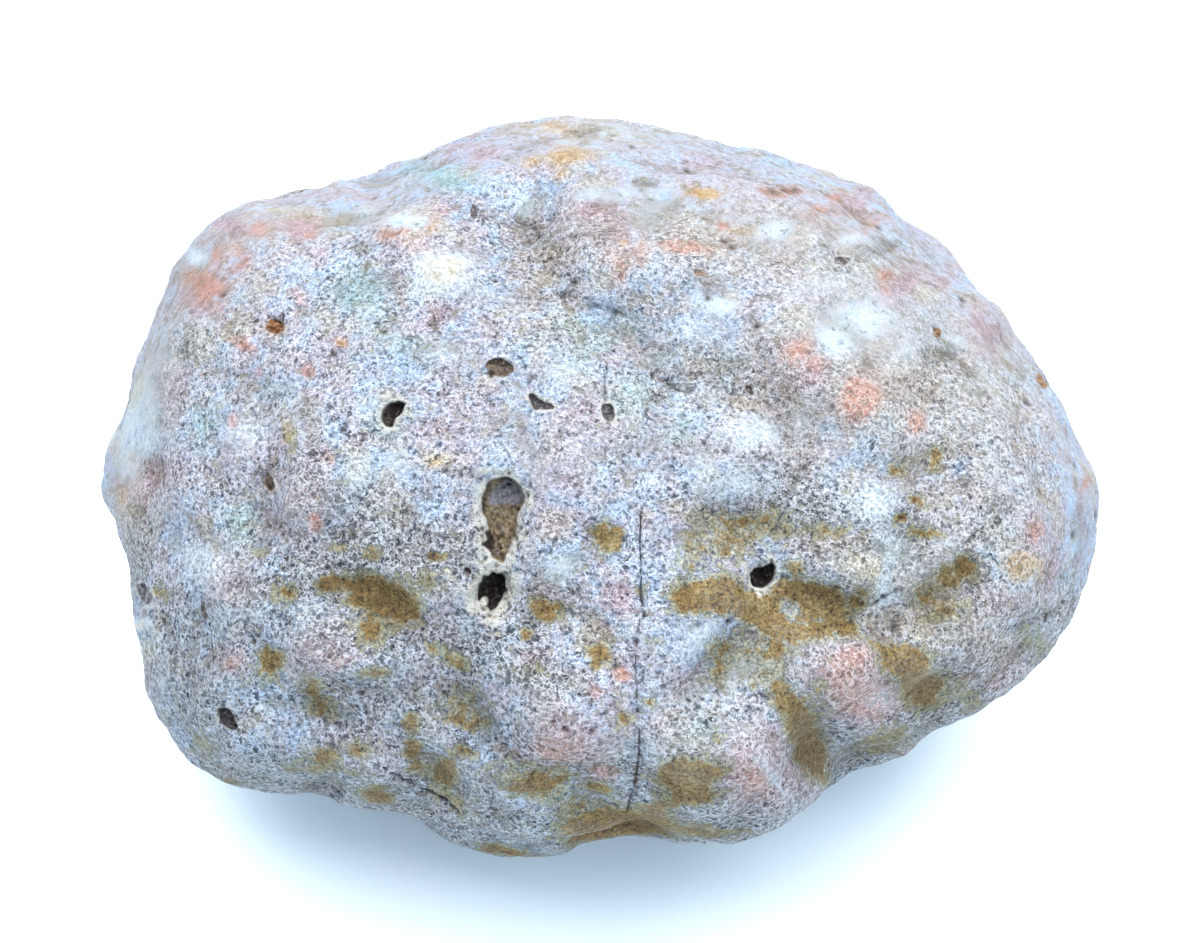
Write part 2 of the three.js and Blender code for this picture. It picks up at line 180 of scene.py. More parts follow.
# Open pits: corners of the outline in pixels, depth in mm, width of the chalky rim in pixels, how
# thick the chalk is, how much painted shade darkens the inside, and how ashy and rusty the inside is
PITS = [
    Pit([(484, 490), (488, 480), (503, 476), (519, 480), (526, 492), (524, 508), (517, 520), (515, 538),
         (511, 552), (500, 566), (489, 556), (483, 544), (487, 528), (480, 508)], 2.3, 8, 0.75, 0.1),
    Pit([(478, 578), (488, 572), (503, 571), (505, 590), (500, 604), (492, 614), (486, 606), (491, 599),
         (484, 595), (477, 603)], 3, 10, 0.9, 1),
    Pit([(381, 416), (384, 407), (395, 401), (405, 403), (403, 414), (397, 421), (387, 430), (383, 424)], 2,
         6, 0.75, 0.8, 0.3),
    Pit([(267, 320), (274, 318), (284, 322), (283, 331), (275, 335), (267, 330)], 0.8, 4, 0.1, 0, 0, 1),
    Pit([(484, 366), (493, 358), (507, 359), (514, 368), (507, 378), (494, 380), (487, 375)], 1.2, 4, 0.35,
         0.5, 0.3, 0.3),
    Pit([(754, 568), (766, 565), (773, 559), (777, 568), (772, 581), (762, 589), (754, 586), (750, 578)],
         2.6, 5, 0.6, 0.95),
    Pit([(217, 707), (226, 706), (235, 714), (241, 727), (232, 730), (221, 721)], 1.6, 4, 0.4, 0.65, 0.5),
    Pit([(133, 586), (141, 584), (147, 590), (153, 595), (153, 605), (143, 605), (135, 598)], 1.2, 4, 0.5,
         0.45, 0.6),
    Pit([(137, 611), (146, 609), (148, 616), (141, 622)], 0.6, 3, 0.5, 0.3, 0.6),
    Pit([(527, 394), (534, 392), (540, 400), (552, 402), (558, 407), (547, 411), (534, 409)], 0.9, 4, 0.7,
         0.75, 0.6),
    Pit([(600, 404), (609, 400), (615, 412), (613, 423), (604, 420)], 0.9, 4, 0.7, 0.7, 0.7),
    Pit([(461, 568), (468, 566), (473, 573), (466, 577)], 0.8, 3, 0.4, 0.8),
    Pit([(469, 204), (476, 204), (478, 216), (472, 220)], 0.9, 2, 0, 0.7, 0.6),
    Pit([(832, 258), (842, 254), (853, 259), (842, 267)], 0.8, 3, 0.2, 0.6, 0.6),
    Pit([(1033, 375), (1039, 374), (1047, 383), (1045, 390), (1037, 386)], 0.9, 2, 0, 0.25, 0, 0.5),
    Pit([(933, 328), (941, 327), (944, 335), (936, 339)], 0.6, 2, 0.1, 0.2, 0, 0.5),
    Pit([(216, 773), (222, 772), (229, 779), (220, 783)], 0.8, 2, 0.1, 0.9),
    Pit([(201, 602), (206, 601), (208, 621), (202, 621)], 0.6, 2, 0.1, 0.7, 0.3),
    Pit([(692, 272), (699, 268), (707, 270), (708, 279), (703, 274), (696, 279)], 0.5, 2, 0, 0.1, 0.3, 0.4),
    Pit([(745, 385), (752, 387), (755, 394), (747, 393)], 0.6, 2, 0, 0.8),
    Pit([(263, 478), (272, 474), (276, 488), (267, 492)], 0.9, 2, 0, 0.6, 0, 0.4),
]
PIT_WALL = -1.0, 2.2  # pixels in from a pit's lip at which its wall starts and ends

# Cracks: points in pixels, half width in pixels, depth in mm, and how dark they are
CRACKS = [
    Crack([(642, 514), (641, 540), (642, 562), (641, 590), (643, 615)], 1.1, 0.45, 1),
    Crack([(640, 615), (637, 640), (635, 668), (637, 690), (639, 714)], 0.75, 0.3, 0.75),
    Crack([(639, 730), (638, 759), (635, 780), (628, 806), (625, 816)], 0.85, 0.35, 0.85),
    Crack([(380, 766), (392, 773), (415, 788), (431, 794), (458, 812)], 1.3, 0.5, 0.9),
    Crack([(264, 746), (282, 747), (301, 745)], 0.9, 0.2, 0.5),
    Crack([(608, 362), (606, 380), (607, 400)], 1.2, 0.35, 0.6),
    Crack([(655, 373), (666, 379), (676, 389), (690, 392)], 2.6, 0.6, 0.5),
    Crack([(964, 547), (970, 540), (980, 531)], 1.6, 0.45, 0.7),
    Crack([(872, 608), (884, 601), (897, 592)], 1.6, 0.45, 0.7),
    Crack([(1011, 629), (1030, 622), (1050, 612), (1064, 602)], 2.6, 0.4, 0.35),
    Crack([(514, 247), (530, 240), (543, 228), (553, 213)], 4, 0.6, 0.25),
    Crack([(590, 305), (612, 310), (632, 318)], 2.6, 0.4, 0.3),
]

# Low swells and dips along the outline: place and reach in pixels, and height in mm
SWELLS = [
    (1098, 485, 26, 0.4), (1075, 435, 22, -0.5), (999, 307, 24, 0.55), (938, 239, 24, -0.4),
    (869, 185, 24, 0.35), (712, 138, 20, 0.3), (675, 130, 18, -0.3), (447, 141, 22, 0.5),
    (372, 171, 28, -0.9), (235, 206, 38, 1.05), (112, 433, 24, 0.4), (126, 565, 34, -0.65),
    (143, 688, 24, 0.8), (168, 734, 18, -0.5), (225, 782, 32, 0.95), (319, 796, 26, -0.8),
    (561, 855, 22, 0.9), (636, 836, 26, -0.8), (822, 791, 18, 0.5), (857, 770, 20, -0.7),
    (899, 754, 22, 0.9), (937, 730, 20, -0.5), (1059, 634, 26, 0.6),
]

# Larger pores, in pixels: place and half size
PORES = [
    (635, 641, 3.2), (639, 711, 3), (565, 729, 2.6), (553, 723, 2.2), (540, 746, 2), (523, 750, 2),
    (496, 278, 3), (366, 713, 2.2), (289, 624, 2.2), (253, 642, 2.2), (564, 295, 3.4), (575, 284, 3),
    (763, 592, 2), (648, 409, 2.2), (704, 444, 2.4), (640, 455, 2), (330, 408, 2.4), (384, 330, 2.6),
    (378, 322, 2.2), (237, 400, 2.2), (1000, 524, 2.2), (968, 484, 2.4), (862, 606, 2.6), (836, 588, 2.4),
    (901, 519, 2.6), (731, 622, 3.2), (852, 622, 2.6), (724, 452, 2.2), (560, 436, 1.8), (432, 554, 2.6),
]

# Colours that lie in patches: centre, half width and half height in pixels, strength in percent
# and, for a patch that is turned, the degrees anticlockwise. Where patches of a colour meet, their
# strengths add up, though never to more than full cover.
PATCHES = {}
# Smooth patches, mostly on the upper and outer rims: no grain there, and a lighter colour that is a painted
# haze of light
PATCHES["smooth"] = [
    (600, 125, 300, 40, 160), (350, 195, 180, 30, 150, 18), (190, 260, 50, 60, 140),
    (140, 360, 30, 90, 150, -12), (108, 450, 26, 60, 140), (880, 215, 160, 44, 160, -33),
    (1015, 320, 60, 90, 150, 32), (1085, 480, 30, 120, 150), (865, 320, 80, 40, 90, -12),
    (700, 190, 140, 44, 100), (125, 640, 14, 70, 120), (785, 235, 80, 30, 80), (720, 300, 60, 28, 60),
    (600, 850, 200, 12, 80),
]
PATCHES["beige"] = [
    (600, 130, 200, 26, 60), (700, 235, 120, 50, 75, -10), (850, 270, 120, 60, 75, -30),
    (880, 385, 100, 60, 85), (975, 410, 90, 130, 70), (900, 610, 160, 90, 75, 10), (720, 370, 80, 50, 55),
    (690, 750, 120, 60, 75), (800, 500, 90, 50, 60), (560, 255, 90, 50, 40), (300, 230, 90, 26, 60, 12),
    (210, 330, 40, 60, 50), (380, 560, 130, 60, 50), (130, 540, 30, 70, 70), (156, 410, 30, 95, 100, -8),
    (520, 420, 110, 60, 30),
]
PATCHES["tan"] = [
    (760, 790, 70, 36, 50), (195, 288, 46, 44, 70), (240, 235, 50, 22, 60, 20), (135, 500, 26, 50, 70),
    (310, 425, 16, 50, 70, 8), (850, 545, 60, 14, 80), (603, 222, 36, 24, 80), (800, 348, 54, 24, 70, 35),
    (302, 226, 26, 14, 70), (880, 385, 60, 40, 70), (392, 224, 46, 26, 50), (690, 240, 50, 20, 50),
    (930, 460, 60, 26, 50), (830, 215, 90, 20, 50, 24), (900, 275, 50, 22, 50, 30), (540, 255, 46, 28, 50),
    (520, 300, 50, 12, 60), (1030, 450, 26, 26, 50), (1040, 360, 12, 24, 60, -30), (1083, 500, 12, 20, 60),
    (315, 182, 40, 12, 60, -12),
]
PATCHES["green"] = [
    (680, 430, 26, 22, 60, 30), (630, 395, 36, 18, 70, 35), (385, 430, 22, 18, 60), (361, 290, 34, 30, 70),
    (440, 176, 48, 16, 70, -14), (400, 340, 50, 26, 60, -25), (201, 425, 18, 30, 60),
    (274, 392, 20, 14, 50), (620, 430, 30, 36, 50), (590, 350, 60, 16, 60, 30), (560, 330, 60, 18, 50, 20),
    (240, 525, 22, 32, 70), (700, 728, 34, 20, 50), (530, 716, 30, 14, 50), (770, 326, 24, 10, 50),
]
PATCHES["blue"] = [
    (292, 612, 22, 12, 70), (280, 676, 10, 10, 80), (690, 640, 30, 30, 60), (960, 468, 10, 14, 80),
    (640, 720, 18, 60, 70), (160, 450, 34, 40, 50), (790, 620, 10, 7, 80), (700, 540, 8, 30, 50),
    (400, 360, 60, 16, 50), (750, 660, 10, 30, 70, -35), (385, 645, 20, 36, 80), (685, 622, 24, 14, 90),
    (655, 560, 20, 30, 60), (330, 490, 26, 40, 60),
]
PATCHES["white"] = [
    (406, 220, 22, 9, 130), (856, 320, 48, 26, 80, 12), (836, 340, 18, 16, 100), (853, 237, 16, 7, 80, 10),
    (722, 305, 24, 9, 90, -5), (775, 233, 26, 12, 70), (956, 343, 12, 10, 70), (872, 502, 26, 22, 90),
    (740, 480, 18, 10, 90), (752, 434, 36, 22, 80, 15), (558, 567, 19, 17, 110), (197, 257, 16, 9, 80, -15),
    (298, 265, 18, 9, 60), (222, 300, 8, 5, 70), (140, 622, 10, 7, 110), (441, 739, 6, 5, 90),
    (1021, 480, 10, 7, 60), (608, 192, 44, 8, 70, 5), (650, 210, 26, 14, 60, 30), (690, 330, 26, 14, 60),
    (650, 480, 14, 10, 60), (400, 470, 10, 26, 60, 10), (500, 300, 40, 14, 40), (150, 440, 28, 18, 60),
    (770, 770, 8, 60, 60, 32), (885, 590, 8, 26, 90, -10), (700, 470, 20, 14, 60), (198, 641, 10, 8, 60),
    (268, 712, 9, 9, 70), (634, 238, 8, 14, 50), (650, 700, 12, 16, 60), (815, 285, 40, 10, 50, 10),
    (905, 355, 30, 12, 50, 20), (893, 545, 24, 15, 80), (803, 425, 12, 24, 60), (372, 408, 26, 12, 60),
    (450, 350, 40, 14, 60), (722, 497, 24, 10, 60), (745, 668, 20, 4, 80, -38), (700, 400, 30, 12, 50, 10),
    (150, 400, 14, 40, 50), (134, 430, 14, 30, 90), (358, 474, 18, 20, 60), (128, 470, 14, 16, 50),
    (690, 690, 34, 16, 40), (660, 358, 22, 8, 80), (735, 357, 18, 7, 60), (677, 562, 12, 24, 60),
    (708, 576, 16, 5, 60), (790, 617, 10, 7, 100), (830, 740, 10, 30, 40, 20), (443, 271, 32, 24, 130, 10),
    (528, 205, 16, 12, 70), (365, 215, 20, 12, 50), (420, 283, 20, 10, 60), (200, 560, 30, 26, 70),
    (700, 640, 24, 26, 80), (250, 430, 26, 22, 70), (900, 560, 20, 14, 50), (752, 661, 26, 6, 160, -25),
    # The last two patches of the list, broad and weak, are painted light that lightens the middle of the
    # face
    (733, 682, 6, 16, 140), (880, 700, 22, 16, 50), (565, 372, 30, 16, 50), (520, 455, 75, 40, 26),
    (605, 440, 65, 45, 23),
]
PATCHES["cream"] = [
    (869, 566, 26, 20, 100, -10), (874, 600, 10, 14, 70), (806, 322, 24, 16, 60), (358, 470, 18, 24, 80),
    (436, 459, 16, 12, 90), (922, 294, 10, 14, 60), (148, 650, 12, 16, 80), (112, 440, 8, 12, 80),
    (416, 218, 30, 22, 60), (650, 300, 20, 12, 40), (930, 640, 40, 24, 40), (545, 320, 40, 10, 40, 20),
    (600, 130, 60, 10, 40), (300, 215, 60, 12, 40, -8), (1000, 640, 40, 22, 40, -20),
    (132, 420, 18, 60, 90), (738, 664, 26, 24, 60), (770, 660, 16, 20, 50),
]
PATCHES["rose"] = [
    (318, 656, 40, 30, 100), (228, 659, 22, 17, 90), (230, 592, 26, 24, 80), (562, 738, 50, 38, 90, 5),
    (858, 682, 52, 44, 130, 25), (764, 772, 52, 52, 110), (565, 462, 34, 56, 60, 10),
    (455, 430, 50, 46, 50), (300, 225, 18, 13, 120), (228, 229, 24, 10, 80, -15), (439, 313, 18, 10, 70),
    (810, 380, 22, 16, 90, 20), (985, 332, 18, 34, 70, 35), (949, 277, 26, 12, 60, 35),
    (1034, 528, 18, 22, 90), (1008, 604, 30, 16, 90), (530, 656, 24, 16, 70), (619, 592, 22, 10, 70),
    (680, 680, 34, 22, 60), (300, 480, 40, 50, 60), (180, 380, 30, 30, 50), (135, 500, 20, 26, 50),
    (596, 212, 28, 12, 80), (631, 236, 16, 24, 70), (205, 300, 26, 22, 90), (470, 150, 40, 16, 60, -10),
    (860, 200, 40, 14, 60, 25), (420, 560, 40, 26, 40), (560, 530, 24, 20, 40), (250, 440, 20, 40, 50),
    (500, 690, 30, 24, 50), (700, 160, 30, 10, 50), (150, 680, 16, 30, 50), (790, 470, 26, 14, 50),
    (965, 690, 50, 16, 60, -25), (480, 350, 40, 20, 40), (160, 474, 34, 26, 80), (600, 235, 16, 20, 80),
    (905, 283, 26, 12, 80, 25), (300, 250, 30, 16, 40), (575, 410, 30, 16, 50), (615, 605, 24, 12, 80),
    (612, 430, 26, 32, 60), (440, 262, 40, 26, 60), (890, 300, 30, 12, 60, 20), (410, 330, 24, 12, 60),
    (130, 470, 14, 14, 60), (985, 668, 40, 18, 80, -30), (1048, 560, 18, 26, 70),
    (930, 700, 26, 14, 50, -25), (323, 253, 12, 16, 70), (820, 366, 18, 12, 70, 25), (165, 420, 26, 40, 40),
]
PATCHES["salmon"] = [
    (205, 282, 26, 15, 75, -10), (242, 262, 11, 16, 75, 10), (285, 262, 16, 12, 40), (216, 258, 9, 8, 80),
    (247, 344, 18, 8, 90, -25), (308, 370, 10, 11, 80), (258, 374, 8, 9, 60), (341, 340, 10, 8, 100),
    (262, 233, 12, 9, 70), (310, 236, 7, 6, 80), (392, 232, 12, 7, 120), (428, 226, 10, 7, 100, 30),
    (440, 212, 20, 10, 50, 20), (621, 270, 11, 18, 40, 10), (684, 247, 30, 8, 90, -4),
    (781, 190, 24, 6, 100, 2), (726, 225, 8, 7, 90), (797, 350, 22, 13, 90, 25), (770, 326, 12, 10, 30),
    (861, 396, 20, 19, 160), (913, 423, 12, 12, 90), (886, 275, 8, 7, 80), (882, 290, 9, 7, 70),
    (815, 212, 12, 5, 70, 10), (870, 226, 26, 6, 60, 24), (1036, 531, 10, 14, 80, 20),
    (852, 660, 34, 20, 65, 25), (840, 690, 26, 20, 60), (876, 697, 30, 20, 50, 10), (556, 752, 40, 18, 60),
    (745, 780, 40, 20, 40), (604, 773, 16, 10, 60), (596, 690, 16, 8, 50), (621, 673, 8, 7, 100),
    (316, 496, 10, 14, 30), (312, 522, 9, 12, 100), (328, 460, 6, 10, 50), (232, 664, 12, 8, 70),
    (338, 662, 14, 9, 60), (755, 782, 20, 14, 60), (1084, 484, 6, 9, 70), (966, 682, 10, 6, 80),
    (1000, 690, 16, 6, 50, -30), (834, 197, 12, 6, 70, 10), (420, 250, 36, 8, 50, -10),
    (300, 300, 14, 10, 40), (640, 250, 8, 22, 60, 10), (230, 420, 9, 12, 80), (300, 290, 12, 9, 40),
    (396, 226, 18, 14, 90), (1000, 655, 54, 26, 50, -32), (890, 738, 44, 14, 40, -22),
    (935, 600, 44, 30, 30), (640, 725, 44, 40, 25), (878, 706, 32, 20, 50), (614, 262, 14, 20, 40),
    (210, 300, 16, 12, 60), (818, 362, 14, 10, 60, 25),
]
PATCHES["ochre"] = [
    (569, 155, 24, 14, 90), (530, 163, 12, 5, 90), (560, 174, 10, 6, 80), (548, 128, 26, 5, 60, -8),
    (703, 191, 20, 7, 110), (1024, 566, 17, 13, 180), (623, 241, 5, 5, 80), (289, 432, 7, 19, 100, 8),
    (434, 461, 8, 6, 80), (342, 341, 6, 5, 80), (274, 326, 11, 9, 80), (741, 232, 20, 7, 40),
    (122, 500, 10, 22, 50), (872, 571, 12, 10, 50), (430, 226, 7, 5, 70),
]
# Grime, and painted shade that darkens the lower face, the bottom edge and some creases
PATCHES["grime_and_shade"] = [
    (420, 556, 110, 36, 100, -6), (350, 500, 60, 30, 60), (545, 680, 40, 14, 100, -10),
    (385, 640, 30, 20, 60), (300, 590, 80, 44, 60), (340, 640, 60, 26, 40), (480, 645, 70, 30, 80, -15),
    (540, 620, 40, 18, 70, 10), (200, 700, 50, 50, 80, -30), (175, 640, 30, 60, 60),
    (260, 765, 60, 26, 80, -8), (600, 832, 140, 26, 90), (730, 822, 90, 22, 90, 8), (660, 790, 90, 30, 70),
    (940, 715, 80, 26, 80, 28), (460, 795, 70, 34, 80, -20), (330, 780, 90, 20, 80, -4),
    (800, 500, 60, 20, 60, -8), (900, 540, 40, 30, 50), (990, 520, 40, 20, 40), (860, 600, 40, 16, 50, -10),
    (890, 735, 60, 20, 70, 25), (190, 340, 14, 30, 40), (430, 720, 60, 40, 50),
    (1075, 590, 14, 50, 60, -12), (130, 560, 20, 60, 50), (360, 710, 80, 30, 50), (500, 760, 50, 30, 40),
    (980, 660, 60, 30, 60, 25), (230, 620, 60, 40, 50), (708, 594, 50, 16, 100), (902, 665, 30, 24, 70),
    (840, 520, 50, 30, 40), (860, 690, 60, 40, 40), (700, 728, 34, 20, 50), (300, 470, 26, 16, 60),
    # The last three patches of the list, broad and weak, are painted shade over the lower face, the bottom
    # edge and the top
    (1020, 380, 16, 20, 40), (1082, 520, 14, 22, 50), (720, 542, 34, 26, 35), (400, 650, 160, 50, 22),
    (600, 838, 140, 28, 26), (745, 160, 80, 24, 24),
]
PATCHES["shade"] = [
    (533, 232, 30, 8, 90, -38), (497, 221, 28, 9, 60, -10), (541, 260, 28, 12, 60, -15),
    (575, 285, 7, 9, 80), (564, 296, 10, 7, 80), (614, 312, 28, 5, 60, 15), (599, 226, 18, 8, 70, 10),
    (645, 183, 18, 6, 70, 8), (701, 273, 14, 6, 90), (712, 286, 26, 9, 70), (679, 290, 16, 7, 60),
    (939, 355, 26, 14, 100, 15), (968, 374, 16, 9, 80, 20), (823, 248, 14, 6, 80, 20),
    (882, 249, 30, 8, 80, 25), (768, 298, 18, 6, 70), (730, 364, 20, 10, 80, 10), (745, 388, 20, 6, 60, 10),
    (670, 385, 22, 5, 80, 28), (361, 249, 10, 9, 90), (187, 348, 10, 18, 90), (276, 347, 10, 7, 80),
    (244, 321, 8, 6, 80), (220, 276, 7, 5, 70), (201, 399, 8, 9, 70), (163, 425, 12, 6, 60),
    (309, 410, 9, 16, 100), (318, 440, 8, 24, 60, 10), (344, 492, 14, 14, 50), (850, 548, 46, 8, 80),
    (712, 762, 20, 8, 50), (795, 472, 22, 14, 80, 10), (716, 512, 30, 6, 60, -15), (762, 519, 34, 5, 90, 8),
    (995, 510, 20, 8, 80, -5), (984, 417, 8, 7, 70), (982, 392, 16, 6, 60), (931, 457, 13, 13, 80),
    (860, 250, 24, 6, 60, 25), (1006, 500, 12, 6, 60), (157, 590, 10, 7, 80), (167, 618, 12, 10, 70),
    (184, 592, 10, 10, 50), (176, 664, 8, 12, 80), (219, 742, 16, 6, 80), (203, 722, 9, 9, 60),
    (261, 777, 18, 6, 70), (257, 682, 16, 6, 70), (560, 605, 60, 7, 80, -18), (575, 590, 22, 8, 60, -30),
    (440, 655, 40, 8, 70, 20), (800, 520, 26, 8, 80, 10), (850, 612, 26, 8, 80, 20),
    (905, 595, 16, 6, 90, -25), (970, 575, 10, 20, 70, -30), (1048, 614, 30, 7, 90, -18),
    (1072, 600, 6, 34, 70, 12), (940, 700, 30, 22, 70), (168, 722, 6, 16, 90, -28), (500, 244, 10, 6, 70),
    (590, 130, 26, 5, 60, 8), (265, 478, 10, 14, 90), (136, 530, 10, 20, 50), (645, 360, 26, 5, 40, 35),
    (500, 820, 60, 12, 50, 10), (1000, 650, 40, 9, 70, -20), (525, 671, 30, 9, 100),
    (950, 630, 24, 12, 100, 20), (232, 770, 28, 9, 100, -12), (690, 622, 22, 9, 70), (600, 238, 12, 14, 70),
    (820, 700, 14, 30, 50, 20), (936, 712, 60, 14, 80, 28), (1010, 655, 50, 10, 80, 30),
    (385, 640, 16, 30, 60), (880, 745, 50, 12, 80, 25), (735, 835, 80, 8, 70, 5), (425, 580, 36, 9, 70),
    (950, 660, 60, 26, 50, 28), (1000, 600, 40, 14, 40, -20), (845, 560, 40, 10, 50, -15),
    (770, 500, 30, 8, 40), (835, 368, 14, 8, 100, -30), (510, 302, 40, 8, 50), (745, 470, 16, 10, 40),
    (781, 190, 22, 6, 70, 2), (786, 346, 16, 14, 45, 30), (604, 828, 30, 10, 60), (210, 302, 14, 8, 40),
    (668, 392, 26, 8, 70, 20), (560, 682, 30, 22, 40), (915, 562, 18, 14, 35),
]
PATCHES["clay"] = [
    (722, 542, 34, 28, 40), (764, 530, 44, 18, 36, 8), (745, 521, 40, 7, 50, 6),
    (684, 600, 14, 14, 95, -10), (706, 593, 24, 14, 110), (730, 597, 24, 13, 110, -8),
    (757, 604, 24, 13, 110, -15), (773, 622, 14, 13, 110, -40), (792, 636, 14, 12, 90),
    (786, 587, 13, 10, 100), (808, 590, 20, 12, 110, -15), (830, 606, 20, 15, 110, -35),
    (845, 626, 16, 9, 90, -45), (818, 630, 22, 9, 90), (730, 646, 22, 14, 42, 25),
    (717, 668, 11, 22, 60, 10), (752, 652, 20, 14, 30), (764, 676, 14, 20, 30, 15), (775, 650, 12, 14, 80),
    (786, 696, 13, 20, 95, 25), (800, 722, 16, 26, 100, 25), (806, 742, 12, 16, 90, 20),
    (817, 762, 8, 18, 90, -10), (800, 760, 6, 8, 60), (870, 640, 26, 6, 60, -15), (903, 662, 22, 14, 150),
    (898, 652, 16, 10, 100), (915, 684, 16, 20, 90), (932, 690, 12, 12, 60), (925, 596, 18, 14, 60, -20),
    (950, 580, 12, 12, 70), (964, 562, 9, 13, 100, 35), (944, 571, 14, 6, 90, 15),
    (927, 533, 20, 6, 80, -8), (899, 517, 6, 6, 110), (916, 503, 13, 6, 80, -10), (897, 468, 16, 9, 60, 15),
    (933, 459, 10, 11, 80), (864, 593, 9, 7, 90), (836, 590, 6, 5, 80), (858, 606, 12, 7, 80),
    (604, 536, 14, 12, 80, -10), (612, 546, 9, 8, 90), (541, 609, 8, 11, 100), (556, 604, 10, 6, 70, 15),
    (526, 633, 7, 6, 90), (598, 650, 10, 10, 90), (594, 667, 6, 6, 80), (651, 700, 6, 9, 80, -20),
    (622, 720, 8, 10, 60), (372, 588, 22, 11, 100, -20), (390, 600, 26, 15, 110, -15),
    (408, 608, 14, 11, 80), (362, 600, 10, 9, 60), (331, 583, 12, 10, 110, 10), (286, 592, 14, 12, 70),
    (371, 553, 9, 7, 70), (340, 550, 12, 5, 60), (433, 556, 10, 6, 90), (274, 660, 12, 11, 110, 10),
    (374, 674, 15, 7, 100, 20), (369, 635, 14, 9, 65), (312, 688, 14, 12, 55, -40),
    (324, 706, 12, 18, 60, 25), (326, 757, 9, 10, 110), (356, 750, 15, 7, 90, -15), (374, 794, 15, 7, 90),
    (434, 650, 13, 6, 70, -25), (457, 664, 14, 8, 70, -25), (463, 702, 26, 18, 42, -5),
    (470, 722, 22, 9, 70, -10), (412, 722, 8, 10, 100), (412, 748, 8, 11, 100), (417, 766, 7, 7, 90),
    (464, 753, 12, 7, 90), (445, 773, 15, 12, 115, 20), (523, 786, 24, 10, 80, -5), (564, 776, 8, 6, 70),
    (600, 789, 14, 7, 90, -5), (574, 805, 24, 7, 50, -8), (604, 828, 40, 17, 160),
    (640, 827, 30, 12, 140, 4), (690, 775, 32, 16, 160, 4), (694, 797, 22, 12, 100),
    (668, 805, 28, 8, 70, 20), (494, 849, 16, 6, 100), (512, 853, 14, 5, 100), (384, 797, 10, 6, 80),
    (720, 738, 7, 10, 60), (158, 592, 12, 6, 60), (232, 776, 10, 4, 50), (830, 529, 34, 8, 45, -5),
    (540, 670, 6, 5, 60), (290, 440, 5, 18, 50), (260, 551, 9, 5, 50), (880, 738, 34, 10, 50, 25),
    (690, 556, 12, 22, 40), (700, 832, 50, 6, 60), (655, 640, 8, 6, 50), (640, 590, 6, 5, 60),
    (520, 770, 40, 12, 40, -10), (320, 770, 40, 10, 45, -8), (950, 610, 30, 10, 45, 15),
    (205, 745, 16, 10, 40, -30), (450, 800, 30, 8, 50, -30), (760, 620, 60, 10, 45, -10),
    (380, 598, 36, 17, 100, -18), (372, 630, 20, 13, 75, -10), (818, 690, 10, 12, 50),
    (816, 762, 12, 24, 100, 10), (425, 578, 36, 10, 40), (548, 786, 24, 12, 80, -10),
    (603, 654, 12, 10, 80), (545, 612, 20, 9, 50, -20), (132, 508, 11, 13, 30), (925, 700, 20, 12, 60),
    (965, 568, 9, 11, 90), (797, 567, 12, 7, 80), (752, 686, 8, 7, 70), (812, 610, 14, 10, 80),
    (962, 694, 44, 14, 35, -28), (1034, 640, 26, 12, 35, -42), (268, 668, 12, 14, 90),
    (614, 536, 9, 11, 70),
]
PATCHES["chalk"] = [
    (487, 480, 10, 6, 70, 30), (477, 505, 6, 26, 75), (480, 540, 7, 22, 80), (486, 563, 12, 7, 90),
    (505, 566, 10, 6, 90, 10), (530, 500, 5, 22, 80), (524, 545, 12, 22, 45, 15), (470, 590, 9, 14, 95),
    (472, 610, 10, 10, 90), (492, 620, 12, 8, 100), (511, 590, 6, 20, 100), (500, 470, 16, 5, 50),
    (466, 562, 12, 5, 60), (445, 575, 16, 14, 30), (485, 601, 4, 6, 110, 10), (381, 424, 5, 7, 70, -20),
    (394, 401, 11, 4, 60), (405, 416, 4, 9, 60, -20), (746, 574, 5, 11, 90), (766, 558, 12, 4, 70, 20),
    (762, 594, 10, 4, 70), (777, 570, 3, 12, 70), (221, 708, 8, 4, 80, -40), (240, 720, 4, 9, 70, 40),
    (219, 722, 5, 6, 50), (530, 400, 4, 6, 80), (545, 398, 12, 3, 70), (552, 409, 7, 3, 70),
    (606, 399, 6, 4, 80), (615, 416, 3, 8, 80), (141, 625, 10, 6, 100), (148, 608, 8, 4, 70),
    (508, 370, 12, 10, 25), (838, 266, 10, 3, 60, 10), (441, 739, 6, 5, 90), (115, 440, 8, 10, 50),
    (408, 219, 12, 5, 60), (560, 568, 9, 9, 50), (443, 271, 26, 19, 130), (385, 397, 14, 5, 80),
    (411, 412, 4, 13, 80), (487, 470, 14, 5, 60), (515, 584, 7, 12, 100),
]
PATCHES["ash"] = [
    (509, 493, 18, 13, 150, -10), (493, 500, 7, 9, 90), (502, 530, 10, 6, 35),
]
